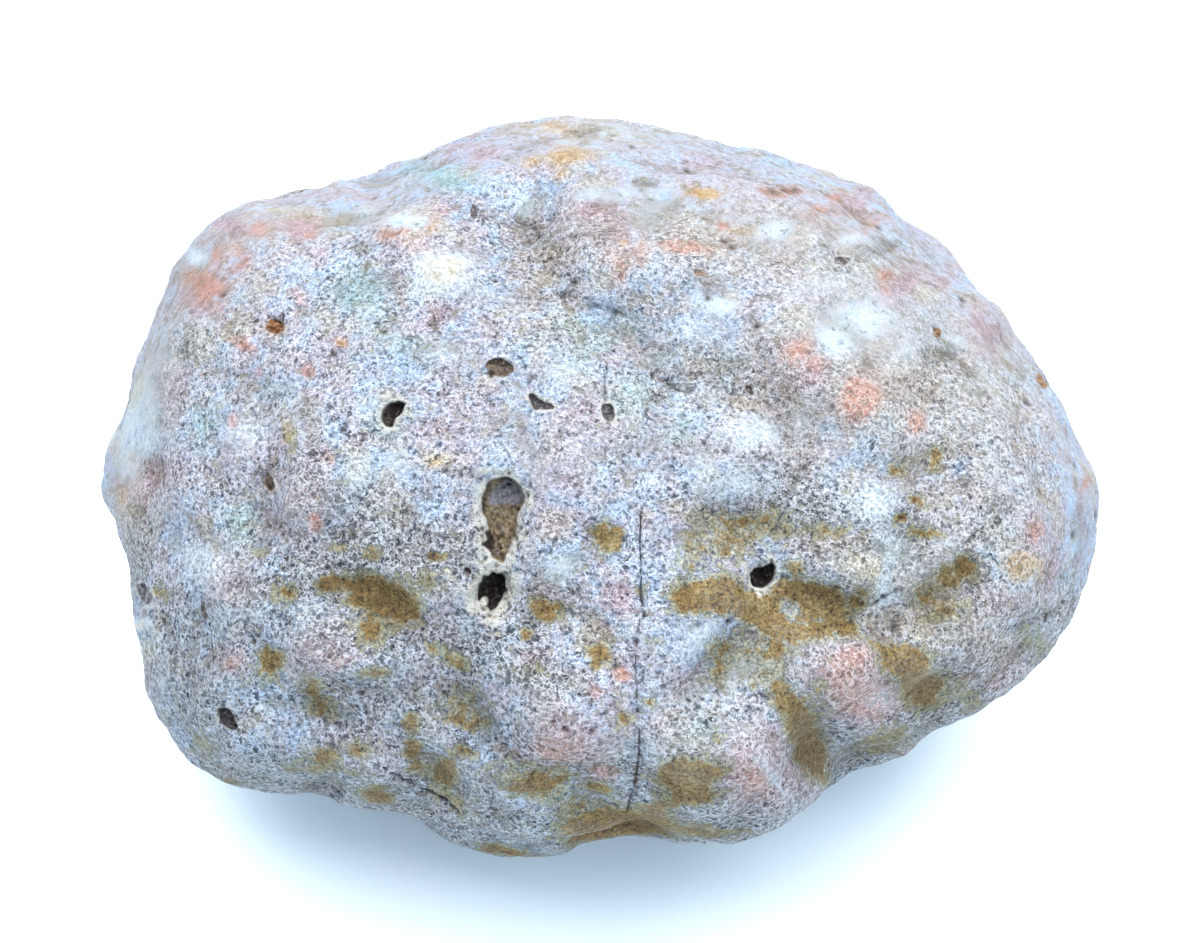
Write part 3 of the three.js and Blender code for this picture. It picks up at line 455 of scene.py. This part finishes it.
# Painted shade inside the pits, on the walls that face away from the light and deep in the dark ones
PATCHES["gloom"] = [
    (484, 484, 6, 9, 100, 45), (481, 507, 5, 12, 90), (485, 544, 6, 9, 100), (505, 477, 16, 3, 90),
    (492, 513, 8, 4, 50), (504, 487, 3, 3, 60), (512, 546, 8, 10, 35), (502, 560, 7, 5, 40),
    (485, 546, 8, 11, 120), (495, 554, 7, 5, 80),
]
PATCHES["rust"] = [
    (274, 326, 8, 7, 140), (499, 369, 13, 9, 120), (419, 794, 6, 4, 140), (1040, 381, 7, 8, 130),
    (604, 828, 16, 5, 70), (508, 853, 10, 4, 90), (962, 562, 7, 9, 70, -35), (330, 580, 8, 7, 70),
    (781, 189, 18, 3, 70, 2), (603, 250, 6, 5, 70), (532, 658, 9, 6, 50), (726, 226, 5, 5, 80),
    (635, 785, 3, 20, 80, 8), (638, 760, 3, 16, 60), (701, 274, 8, 4, 80), (915, 500, 7, 5, 80),
    (942, 536, 8, 4, 70), (902, 517, 5, 5, 70), (938, 333, 4, 4, 90), (682, 772, 12, 6, 40),
    (383, 596, 14, 8, 30), (926, 590, 10, 10, 30), (899, 656, 8, 5, 50), (498, 548, 12, 12, 50),
    (358, 580, 8, 5, 60), (389, 226, 9, 6, 50), (832, 370, 16, 7, 50, -35), (802, 348, 18, 6, 40, -35),
    (600, 238, 9, 12, 40), (950, 632, 18, 8, 45, 20), (905, 284, 14, 6, 35, -20), (309, 420, 6, 14, 35),
    (930, 700, 40, 8, 35, 28), (604, 836, 40, 6, 60),
]
FALL = {"clay": 1.2, "rust": 1.5, "chalk": 1.5, "gloom": 1.5, "ash": 1.5}  # how steeply a patch ends
USUAL_FALL = 1.1
EDGE_WANDER = [(2.6, 5), (0.8, 3.5)]  # wavelength in mm, and pixels that edges wander
CLOSE_FITTING = {"chalk", "gloom", "ash"}  # the colours that belong to a pit
CLOSE_WANDER = 0.25  # share of the wandering that those do
FACING_CAMERA = 0.0, 0.1  # cosine over which the face's own marks fade in

# What the hidden sides carry: how many patches of each colour, and their half sizes in mm
HIDDEN_PATCHES = {
    "green": (26, (2.5, 6)), "blue": (34, (2, 6)), "white": (40, (0.8, 4)), "cream": (30, (1, 4)),
    "rose": (44, (2, 6)), "salmon": (44, (0.7, 2.6)), "ochre": (14, (0.6, 2)), "grime_and_shade": (40, (2, 7)),
    "shade": (70, (0.8, 3)), "clay": (110, (0.8, 3.4)), "rust": (24, (0.3, 1.2)),
    "chalk": (12, (0.3, 0.9)), "gloom": (0, (1, 1)), "ash": (0, (1, 1)), "beige": (30, (4, 9)),
    "tan": (30, (2, 8)), "smooth": (14, (5, 12)),
}
HIDDEN_STRENGTH = 0.5, 1
HIDDEN_WANDER = 0.5, 2.2  # mm that their edges wander, and the wavelength


def turned(offsets, degrees=0):
    """Offsets in the axes of something turned anticlockwise in the picture."""
    c, s = math.cos(math.radians(degrees)), math.sin(math.radians(degrees))
    x, y = offsets[:, 0], -offsets[:, 1]
    return c * x + s * y, c * y - s * x


def distance_to_path(pixels, path):
    """Distance of each pixel from a chain of points."""
    least = np.full(len(pixels), np.inf)
    for start, end in zip(np.array(path[:-1], float), np.array(path[1:], float)):
        along = np.clip((pixels - start) @ (end - start) / ((end - start) @ (end - start)), 0, 1)
        least = np.minimum(least, np.linalg.norm(pixels - start - along[:, None] * (end - start), axis=1))
    return least


def distance_to_spot(pixels, x, y):
    return np.hypot(*(pixels - (x, y)).T)


def rounded(corners):
    """An outline with its corners cut off, and the new corners cut off again."""
    for _ in range(2):
        following = np.roll(corners, -1, axis=0)
        corners = np.stack([0.75 * corners + 0.25 * following, 0.25 * corners + 0.75 * following], 1)
        corners = corners.reshape(-1, 2)
    return corners


FAR = 40.0  # pixels from an outline beyond which the distance isn't worked out


def depth_inside(pixels, outline):
    """Distance of each pixel from a rounded outline, negative outside it, or -FAR far outside."""
    corners = rounded(np.array(outline, float))
    around = ((pixels > corners.min(0) - FAR) & (pixels < corners.max(0) + FAR)).all(1)
    near = pixels[around]
    inside = np.zeros(len(near), bool)
    for (x0, y0), (x1, y1) in zip(corners, np.roll(corners, -1, axis=0)):
        spans = (y0 > near[:, 1]) != (y1 > near[:, 1])
        crossing = x0 + (near[:, 1] - y0) * (x1 - x0) / (y1 - y0 if y1 != y0 else 1)
        inside ^= spans & (near[:, 0] < crossing)
    distance = distance_to_path(near, [*corners, corners[0]])
    depth = np.full(len(pixels), -FAR)
    depth[around] = np.where(inside, distance, -distance)
    return depth


def wave(points, wavelength, shift=0.0):
    """Smooth noise, about -1 to 1, at each point, with waves of the given length in mm."""
    places = points / (wavelength * MM) + np.array([shift, 2.3 * shift, -1.7 * shift])
    return np.array([noise.noise(Vector(p)) for p in places])


# ---------- The stone's skin ----------

MOST_TRIANGLES = 198_000
FINE_ROUNDS = 3
FINE_DEPTH = 6 * MM  # how far behind AIM the fine facets go
CRACK_EDGE = 0.16 * MM
CRACK_REACH = 3.0  # pixels beyond a crack that get small facets
PIT_EDGE = 0.22 * MM
PIT_REACH = 6.0
FILL_ROUNDS = 250
FILL_MARGIN = 15  # pixels beyond a pit's lip
GROUND = 0.02 * MM  # the solid's flat spot lies below this
# Painted shade, with some grime, on the faces that look down
UNDERSIDE_SHADE = 0.85
UNDERSIDE_TURN = 0.35  # it starts where a face looks up by this much, and is full where it looks down by it
MARKS_FROM = 0.05  # pits and cracks lie where more than this of the broad face's marks shows
PORES_FROM = 0.3
LIP_WANDER = 0.25, 1.7, 0.7  # share of the edges' wandering, pixels of its own, and wavelength in mm
PIT_FLOOR_RELIEF = -1.1  # mm
PIT_FLOOR_WAVES = [(1, 1.3, 8), (0.6, 0.6, 9)]  # share of that relief, wavelength in mm, and shift
CRACK_WANDER = 0.2  # share of the edges' wandering
CRACK_UNEVENNESS = 1.35, 1.4  # by how much of itself the width changes, and over how many mm
THINNEST = 0.25  # share of a crack's width
HIDDEN_PORES = 260
HIDDEN_PORE_SIZE = 0.25, 0.55  # mm across
PORE_DEPTH = 1.3  # as a share of its half size
RELIEF = [  # wavelength and height in mm, and 1 for ridges or -1 for round bumps
    (7.0, 0.45, -1), (3.4, 0.26, -1), (2.2, 0.14, 1), (1.25, 0.09, 1),
]
CLAY_SMOOTHNESS = 0.75
LIP_RISE = 0.22  # mm that the chalky rim stands up
CAVITY_ROUNDS = 24
CAVITY_HEIGHT = 0.22 * MM


def nearest_mark(points):
    """Pixels from each point to the nearest crack or pore, and how far it is inside a pit."""
    pixels = pixels_of(points)
    crack = np.min([distance_to_path(pixels, c.path) for c in CRACKS], axis=0)
    pit = np.max([depth_inside(pixels, p.outline) for p in PITS], axis=0)
    pore = np.min([distance_to_spot(pixels, x, y) - size for x, y, size in PORES], axis=0)
    return np.minimum(crack, pore), pit


def longest_edge(middles):
    """How long each edge may be, from where its middle is."""
    longest = np.full(len(middles), np.inf)
    front = (middles - AIM) @ TOWARDS > -FINE_DEPTH
    crack, pit = nearest_mark(middles[front])
    by_crack = np.where(crack < CRACK_REACH, CRACK_EDGE, np.inf)
    longest[front] = np.minimum(by_crack, np.where(pit > -PIT_REACH, PIT_EDGE, np.inf))
    return longest


def build_skin():
    points, triangles = welded(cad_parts["geode"].data)
    for _ in range(2):
        points, triangles = subdivided(points, triangles)
    for _ in range(FINE_ROUNDS):
        finer = cut_edges(points, triangles, longest_edge)
        if len(finer[1]) > MOST_TRIANGLES:
            break
        points, triangles = finer
    return points, triangles


points, triangles = build_skin()
edges, _ = edges_of(triangles)
near_pits = (nearest_mark(points)[1] > -FILL_MARGIN) & ((points - AIM) @ TOWARDS > 0)
points = filled(points, edges, near_pits, FILL_ROUNDS)
ground = points[:, 2] < GROUND
normals = normals_of(points, triangles)
seen = smoothstep(np.einsum("ij,ij->i", normals, EYE - points) / CAMERA_DISTANCE, *FACING_CAMERA)
pixels = pixels_of(points)
edge_drift = sum(
    size * np.column_stack([wave(points, length, 1), wave(points, length, 5)])
    for length, size in EDGE_WANDER
)
size, length = HIDDEN_WANDER
hidden_drift = size * MM * np.column_stack([wave(points, length, k) for k in (2, 6, 9)])


def patch_cover(name):
    """How much of a colour lies at each point."""
    fall = FALL.get(name, USUAL_FALL)
    drift = edge_drift * (CLOSE_WANDER if name in CLOSE_FITTING else 1)
    bare = np.ones(len(points))
    for x, y, wide, high, percent, *turn in PATCHES[name]:
        u, v = turned(pixels + drift - (x, y), *turn)
        bare *= 1 - np.clip(percent / 100 * np.exp(-fall * ((u / wide) ** 2 + (v / high) ** 2)), 0, 1)
    hidden_bare = np.ones(len(points))
    count, sizes = HIDDEN_PATCHES[name]
    for _ in range(count):
        middle = points[rng.integers(len(points))]
        size = rng.uniform(*sizes, 3) * MM
        away = (((points + hidden_drift - middle) / size) ** 2).sum(1)
        hidden_bare *= 1 - rng.uniform(*HIDDEN_STRENGTH) * np.exp(-fall * away)
    return seen * (1 - bare) + (1 - seen) * (1 - hidden_bare)


cover = {name: patch_cover(name) for name in PATCHES}
# Faces that look down get grime and painted shade, as if lying in the shade under the stone
underside = smoothstep(-normals[:, 2], -UNDERSIDE_TURN, UNDERSIDE_TURN)
cover["grime_and_shade"] = np.maximum(cover["grime_and_shade"], UNDERSIDE_SHADE * underside)
chalk = cover["chalk"]
in_front = seen > MARKS_FROM

# Pits: how far in each point is, how deep it goes, and the finish and painted shade that each pit is given
# inside
share, size, length = LIP_WANDER
own_drift = np.column_stack([wave(points, length, 11), wave(points, length, 13)])
lip_drift = share * edge_drift + size * own_drift
floor_relief = sum(share * np.abs(wave(points, *shape)) for share, *shape in PIT_FLOOR_WAVES)
hole = np.zeros(len(points))
drop = np.zeros(len(points))
rusty = np.zeros(len(points))
for pit in PITS:
    depth = depth_inside(pixels + lip_drift, pit.outline)
    inner = smoothstep(depth, *PIT_WALL) * in_front
    ring = np.exp(-((np.maximum(-depth, 0) / pit.rim) ** 2)) * in_front
    drop = np.maximum(drop, (pit.depth + PIT_FLOOR_RELIEF * floor_relief) * inner)
    hole = np.maximum(hole, inner)
    np.maximum(chalk, pit.chalk * ring, out=chalk)
    inside = inner > 0
    for values, least in ((cover["gloom"], pit.gloom), (cover["ash"], pit.ash), (rusty, pit.rust)):
        values[inside] = np.maximum(values[inside], least)

# Cracks: how dark each point is, and how deep the groove goes
cracks = np.zeros(len(points))
groove = np.zeros(len(points))
unevenness, length = CRACK_UNEVENNESS
width = np.maximum(1 + unevenness * wave(points, length, 7), THINNEST)
for crack in CRACKS:
    away = distance_to_path(pixels + CRACK_WANDER * edge_drift, crack.path) / (crack.width * width)
    near = np.exp(-(away**2)) * in_front
    cracks = np.maximum(cracks, crack.dark * near)
    groove = np.maximum(groove, crack.depth * near)

# Pores: those of the broad face at the point that shows nearest, and more strewn all over
front = np.flatnonzero(seen > PORES_FROM)
sites = [
    (points[front[np.argmin(((pixels[front] - (x, y)) ** 2).sum(1))]], size * PIXEL)
    for x, y, size in PORES
]
for index in rng.integers(len(points), size=HIDDEN_PORES):
    sites.append((points[index], rng.uniform(*HIDDEN_PORE_SIZE) * MM * 0.5))
tree = KDTree(len(points))
for index, point in enumerate(points):
    tree.insert(point, index)
tree.balance()
pores = np.zeros(len(points))
pore_drop = np.zeros(len(points))
for middle, size in sites:
    for _, index, distance in tree.find_range(middle, 3 * size):
        share = math.exp(-((distance / size) ** 2))
        pores[index] = max(pores[index], share)
        pore_drop[index] = max(pore_drop[index], PORE_DEPTH * size * share)

bumps = sum(
    sign * height * MM * (0.5 - np.abs(wave(points, length, 3 * k + 2)) * 1.6)
    for k, (length, height, sign) in enumerate(RELIEF)
)
rough = 1 - CLAY_SMOOTHNESS * np.clip(cover["clay"], 0, 1)
swell = sum(
    height * MM * np.exp(-((distance_to_spot(pixels, x, y) / reach) ** 2))
    for x, y, reach, height in SWELLS
)
skin = points + normals * ((bumps * rough + swell - pore_drop) * ~ground)[:, None]
skin += normals * ((LIP_RISE * chalk - groove) * MM)[:, None]
skin -= TOWARDS * (drop * MM)[:, None]
skin[:, 2] = np.maximum(skin[:, 2], 0)
skin[ground, 2] = 0

# 1 in a hollow, -1 on a crest
hollow = ((blurred(skin, edges, CAVITY_ROUNDS) - skin) * normals_of(skin, triangles)).sum(1)
cavity = np.clip(hollow / CAVITY_HEIGHT, -1, 1)


def add_object(name, points, faces, material):
    mesh = bpy.data.meshes.new(name)
    mesh.from_pydata(points.tolist(), [], faces.tolist())
    mesh.materials.append(material)
    thing = bpy.data.objects.new(name, mesh)
    bpy.context.scene.collection.objects.link(thing)
    return thing


def add_attribute(mesh, name, values):
    mesh.attributes.new(name, "FLOAT", "POINT").data.foreach_set("value", values.astype(np.float32))


# ---------- Materials ----------

BRIGHTNESS = 2.75  # how bright a white face looks from here in this light; colours are as they look


def looks(red, green, blue):
    """The finish that looks, in this light, like a colour of 0 to 255 on a screen."""
    shares = [v / 255 for v in (red, green, blue)]
    linear = [v / 12.92 if v <= 0.04045 else ((v + 0.055) / 1.055) ** 2.4 for v in shares]
    return (*[v / BRIGHTNESS for v in linear], 1.0)


class Shader:
    """Nodes of one material, added by short calls that return the output socket."""

    def __init__(self, name):
        self.material = bpy.data.materials.new(name)
        self.material.use_nodes = True
        self.tree = self.material.node_tree
        self.surface = self.tree.nodes["Principled BSDF"]
        self.place = self.tree.nodes.new("ShaderNodeTexCoord").outputs["Object"]

    def put(self, value, socket):
        if isinstance(value, bpy.types.NodeSocket):
            self.tree.links.new(value, socket)
        else:
            socket.default_value = value

    def node(self, kind, inputs=(), **settings):
        made = self.tree.nodes.new(kind)
        for key, value in settings.items():
            setattr(made, key, value)
        for key, value in dict(inputs).items():
            self.put(value, made.inputs[key])
        return made

    def attribute(self, name):
        return self.node("ShaderNodeAttribute", attribute_name=name).outputs["Fac"]

    def noise(self, wavelength, detail=2.0, roughness=0.55, shift=0.0):
        """Noise about -1 to 1, with waves of the given length in mm."""
        moved = {0: self.place, 1: (shift, 2 * shift, -shift)}
        values = {
            "Vector": self.node("ShaderNodeVectorMath", moved, operation="ADD").outputs[0],
            "Scale": 1 / (wavelength * MM), "Detail": detail, "Roughness": roughness,
        }
        return self.scaled(self.node("ShaderNodeTexNoise", values).outputs["Fac"], 4.0, -2.0)

    def math(self, operation, first, second=0.0, third=0.0):
        values = {0: first, 1: second, 2: third}
        return self.node("ShaderNodeMath", values, operation=operation).outputs[0]

    def plus(self, first, second):
        return self.math("ADD", first, second)

    def times(self, first, second):
        return self.math("MULTIPLY", first, second)

    def scaled(self, value, factor, added):
        """The value times the factor, and something added to it."""
        return self.math("MULTIPLY_ADD", value, factor, added)

    def step(self, value, low, high, to_low=0.0, to_high=1.0):
        """Eases from one value to the other while the given one goes from low to high."""
        values = {"Value": value, "From Min": low, "From Max": high, "To Min": to_low, "To Max": to_high}
        return self.node("ShaderNodeMapRange", values, interpolation_type="SMOOTHSTEP").outputs["Result"]

    def mix(self, share, first, second, blend="MIX"):
        made = self.node("ShaderNodeMix", data_type="RGBA", blend_type=blend)
        for socket, value in zip((made.inputs[0], made.inputs[6], made.inputs[7]), (share, first, second)):
            self.put(value, socket)
        return made.outputs[2]

    def lit(self, colour, brightness):
        values = {0: colour, "Scale": brightness}
        return self.node("ShaderNodeVectorMath", values, operation="SCALE").outputs[0]


# Colours of the patches, in the order that they are laid over one another: a colour, another
# that it varies to, how much of it shows at most, and how far noise eats into its edge
LAYERS = {
    "beige": (looks(216, 210, 200), looks(196, 186, 172), 0.75, 0.25),
    "tan": (looks(202, 174, 158), looks(170, 144, 128), 0.75, 0.35),
    "green": (looks(168, 214, 210), looks(148, 188, 180), 0.75, 0.25),
    "blue": (looks(164, 198, 238), looks(142, 170, 212), 0.75, 0.30),
    "rose": (looks(214, 180, 188), looks(178, 144, 154), 0.9, 0.30),
    "cream": (looks(232, 224, 188), looks(216, 200, 160), 0.8, 0.25),
    # grime_and_shade is grime and also painted shade on the lower face and on the faces that look down
    "grime_and_shade": (looks(130, 132, 132), looks(106, 112, 122), 0.72, 0.35),
    "salmon": (looks(226, 162, 136), looks(202, 136, 112), 0.93, 0.22),
    "ochre": (looks(230, 192, 118), looks(208, 160, 90), 0.9, 0.25),
    "white": (looks(240, 249, 255), looks(220, 238, 255), 1.0, 0.35),
    "shade": (looks(134, 128, 116), looks(102, 98, 90), 0.7, 0.35),
}
BLUISH, LAVENDER, BEIGE = looks(190, 214, 242), looks(212, 200, 214), looks(206, 196, 182)
GRAIN_LIGHT = looks(252, 253, 255)
GAP_SHADE = 0.16, 0.17, 0.20, 1
FILM = looks(180, 182, 162), looks(164, 164, 134)
CLAY = looks(176, 154, 98), looks(146, 116, 58)
HOLLOW_DIRT_AND_SHADE = 0.62, 0.55, 0.45, 1
SOILED_AND_SHADED = 0.78, 0.70, 0.52, 1
RUST = looks(142, 92, 48), looks(108, 66, 32)
CHALK = looks(252, 250, 240), looks(214, 204, 178)
PIT_SIDE = looks(220, 198, 160), looks(162, 136, 102)
PIT_RUST = looks(176, 110, 56)
PIT_FLECK = looks(232, 230, 238)
PIT_ASH = looks(222, 220, 232)
# Painted shade in the pits, among their crystals and in the pores
HOLE_SHADE = looks(70, 56, 54)
CRACK = looks(58, 54, 60)


def rind_material():
    s = Shader("rind")
    broad = s.noise(9, 2)
    middle = s.noise(2.6, 3, 0.6, shift=1)
    tint = s.noise(3.6, 1, 0.5, shift=14)
    fine = s.noise(0.95, 3, 0.6, shift=2)
    grain = s.noise(0.5, 3, 0.7, shift=3)
    threads = s.math("SUBTRACT", 1.0, s.math("ABSOLUTE", s.noise(0.75, 2, 0.6, shift=5)))

    # The crystal, which drifts between three colours, and the patches over it
    hue = s.plus(s.times(broad, 0.5), s.scaled(middle, 0.7, s.times(fine, 0.15)))
    colour = s.mix(s.step(hue, -0.6, 0.6), BLUISH, LAVENDER)
    colour = s.mix(s.step(s.scaled(fine, 0.2, tint), 0.1, 0.9, 0.0, 0.75), colour, BEIGE)
    ragged = s.plus(s.times(middle, 0.35), s.times(fine, 0.65))
    mottled = s.step(s.scaled(middle, 0.6, fine), -0.7, 0.7)
    for name, (plain, varied, most, eaten) in LAYERS.items():
        share = s.step(s.scaled(ragged, eaten, s.attribute(name)), 0.0, 0.9)
        colour = s.mix(s.times(share, most), colour, s.mix(mottled, plain, varied))

    # Where the clay lies thin or thick, and where it, the smooth patches or a smooth colour leaves no grain
    broken = s.plus(s.times(fine, 0.28), s.times(grain, 0.2))
    edge = s.plus(s.attribute("clay"), broken)
    film = s.step(edge, 0.1, 0.3)
    core = s.step(edge, 0.36, 0.6)
    smooth_and_haze = s.times(s.attribute("smooth"), 0.8)
    for name, wear in (("white", 0.7), ("salmon", 0.4)):
        smooth_and_haze = s.scaled(s.math("MINIMUM", s.attribute(name), 1.0), wear, smooth_and_haze)
    smooth_and_haze = s.math("MINIMUM", s.scaled(film, 0.75, smooth_and_haze), 0.88)
    bare = s.math("SUBTRACT", 1.0, smooth_and_haze)

    # Sugary grain: pale grains and threads, which stand out more in some places than in others
    thread = s.step(threads, 0.76, 0.98)
    sparks = s.step(s.noise(0.55, 1, 0.5, shift=9), 0.5, 0.85)
    tone = s.scaled(grain, 1.08, s.times(fine, 0.45))
    tone = s.scaled(sparks, 0.6, s.scaled(thread, 0.8, tone))
    patchy = s.noise(5, 1, 0.5, shift=15)
    swing = s.scaled(s.attribute("grime_and_shade"), 0.7, s.scaled(patchy, 0.37, 0.94))
    swing = s.times(bare, s.math("MAXIMUM", swing, 0.3))
    # Lighter where the grain is smoothed, which on the smooth patches of the rims is a painted haze of
    # light
    level = s.scaled(smooth_and_haze, 0.085, s.scaled(middle, -0.08, 0.872))
    colour = s.lit(colour, s.math("MAXIMUM", s.scaled(tone, swing, level), 0.2))
    glint = s.times(s.math("MAXIMUM", sparks, s.times(thread, 0.75)), swing)
    colour = s.mix(s.times(glint, 0.5), colour, GRAIN_LIGHT)

    # Painted shade in the dark gaps between the grains
    crowd = s.step(s.plus(middle, broad), -0.8, 0.8, 0.3, 1.0)
    specks = s.step(s.noise(0.7, 2, 0.7, shift=6), -0.45, -0.75)
    wells = s.step(s.noise(1.2, 2, 0.6, shift=10), -0.62, -0.82)
    gaps = s.times(s.times(s.math("MAXIMUM", specks, wells), crowd), bare)
    colour = s.mix(s.times(gaps, 0.45), colour, GAP_SHADE, "MULTIPLY")

    # Clay, rust and silt; the clay film is darker where grime and painted shade lie
    colour = s.mix(s.times(film, 0.75), colour, s.mix(s.step(middle, -0.4, 0.4), *FILM))
    colour = s.mix(s.times(core, 0.92), colour, s.mix(s.step(s.plus(middle, core), 0.1, 1.2), *CLAY))
    colour = s.mix(s.times(film, s.attribute("grime_and_shade")), colour, SOILED_AND_SHADED, "MULTIPLY")
    rust = s.step(s.scaled(broken, 1.2, s.attribute("rust")), 0.2, 0.9)
    colour = s.mix(s.times(rust, 0.85), colour, s.mix(s.step(fine, -0.4, 0.4), *RUST))
    silt = s.noise(0.26, 1, 0.5, shift=8)
    colour = s.lit(colour, s.scaled(s.times(s.plus(silt, grain), film), 0.65, 1.0))

    # Dirt and painted shade in the hollows, and light grains on the crests
    cavity = s.attribute("cavity")
    hollow_dirt_and_shade = s.step(s.scaled(fine, 0.4, cavity), 0.1, 0.95)
    colour = s.mix(s.times(hollow_dirt_and_shade, 0.6), colour, HOLLOW_DIRT_AND_SHADE, "MULTIPLY")
    crest = s.step(s.scaled(fine, 0.4, s.times(cavity, -1.0)), 0.25, 0.95)
    colour = s.mix(s.times(s.times(crest, bare), s.scaled(thread, 0.45, 0.12)), colour, GRAIN_LIGHT)

    # Chalky rims, the insides of the pits with their painted shade, pores darkened by painted shade, and
    # cracks
    crumbs = s.plus(fine, grain)
    rim = s.plus(s.attribute("chalk"), s.plus(s.times(fine, 0.3), s.times(grain, 0.25)))
    chalk = s.mix(s.step(crumbs, 0.1, -0.8), *CHALK)
    colour = s.mix(s.times(s.step(rim, 0.2, 0.75), 0.9), colour, chalk)
    inside = s.mix(s.step(crumbs, -0.8, 0.8), *PIT_SIDE)
    ash = s.step(s.scaled(fine, 0.2, s.attribute("ash")), 0.15, 0.7)
    inside = s.mix(s.times(ash, 0.9), inside, PIT_ASH)
    inside = s.mix(s.times(s.step(s.attribute("rusty"), 0.1, 0.9), 0.9), inside, PIT_RUST)
    gloom = s.step(s.scaled(grain, 0.25, s.attribute("gloom")), 0.1, 0.9)
    inside = s.mix(s.times(gloom, 0.94), inside, HOLE_SHADE)
    crystals = s.noise(0.42, 2, 0.65, shift=12)
    inside = s.mix(s.step(crystals, 0.3, 0.75, 0.0, 0.6), inside, PIT_FLECK)
    inside = s.mix(s.step(crystals, -0.2, -0.65, 0.0, 0.55), inside, HOLE_SHADE)
    colour = s.mix(s.step(s.attribute("hole"), 0.1, 0.55), colour, inside)
    colour = s.mix(s.times(s.attribute("pores"), 0.85), colour, HOLE_SHADE)
    split = s.step(s.scaled(fine, 0.3, s.attribute("cracks")), 0.3, 0.8)
    colour = s.mix(s.times(split, 0.85), colour, CRACK)
    s.put(colour, s.surface.inputs["Base Color"])

    # Sheen, and the relief that is too fine for the facets
    s.put(s.step(grain, -0.8, 0.8, 0.92, 0.7), s.surface.inputs["Roughness"])
    s.surface.inputs["Specular IOR Level"].default_value = 0.35
    height = s.plus(s.times(grain, 0.14), s.times(threads, 0.08))
    height = s.times(s.scaled(gaps, -0.2, height), bare)
    height = s.scaled(silt, 0.012, s.scaled(film, -0.12, height))
    values = {"Height": height, "Strength": 1.0, "Distance": MM}
    s.put(s.node("ShaderNodeBump", values).outputs["Normal"], s.surface.inputs["Normal"])
    return s.material


def floor_material():
    s = Shader("pale_floor")
    share = s.step(s.noise(60, 2), -0.8, 0.8)
    s.put(s.mix(share, (0.82, 0.91, 0.97, 1), (0.85, 0.93, 0.98, 1)), s.surface.inputs["Base Color"])
    s.surface.inputs["Roughness"].default_value = 0.7
    return s.material


stone = add_object("stone", skin, triangles, rind_material())
stone.data.shade_smooth()
marks = {"hole": hole, "rusty": rusty, "cracks": cracks, "pores": pores, "cavity": cavity}
for name, values in {**cover, **marks}.items():
    add_attribute(stone.data, name, values)
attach(stone, "root")
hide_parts("geode")

# ---------- Floor, light and camera ----------

FLOOR_SIZE = 4.0
SKY = 0.66, 0.87, 1.08, 1
SKY_STRENGTH = 0.85

corners = FLOOR_SIZE / 2 * np.array([[-1, -1, 0], [1, -1, 0], [1, 1, 0], [-1, 1, 0]])
floor = add_object("floor", corners, np.array([[0, 1, 2, 3]]), floor_material())


def add_area_light(name, place, size, power, colour):
    light = bpy.data.lights.new(name, "AREA")
    light.energy = power
    light.size = size
    light.color = colour
    lamp = bpy.data.objects.new(name, light)
    lamp.location = place
    lamp.rotation_euler = (Vector(place) - Vector(AIM)).to_track_quat("Z", "Y").to_euler()
    bpy.context.scene.collection.objects.link(lamp)


add_area_light("ceiling", (0.05, 0.3, 1.3), 2.0, 72.0, (1.0, 0.985, 0.97))
add_area_light("front_fill", (0.5, -0.9, 0.8), 1.0, 8.0, (0.80, 0.90, 1.0))

world = bpy.data.worlds.new("sky")
world.use_nodes = True
world.node_tree.nodes["Background"].inputs["Color"].default_value = SKY
world.node_tree.nodes["Background"].inputs["Strength"].default_value = SKY_STRENGTH
bpy.context.scene.world = world
bpy.context.scene.view_settings.view_transform = "Standard"

camera_data = bpy.data.cameras.new("camera")
camera_data.lens = camera_data.sensor_width * CAMERA_DISTANCE / PICTURE_WIDTH
camera_data.clip_start = 0.01
camera = bpy.data.objects.new("camera", camera_data)
camera.location = EYE
camera.rotation_euler = Vector(TOWARDS).to_track_quat("Z", "Y").to_euler()
bpy.context.scene.collection.objects.link(camera)
bpy.context.scene.camera = camera
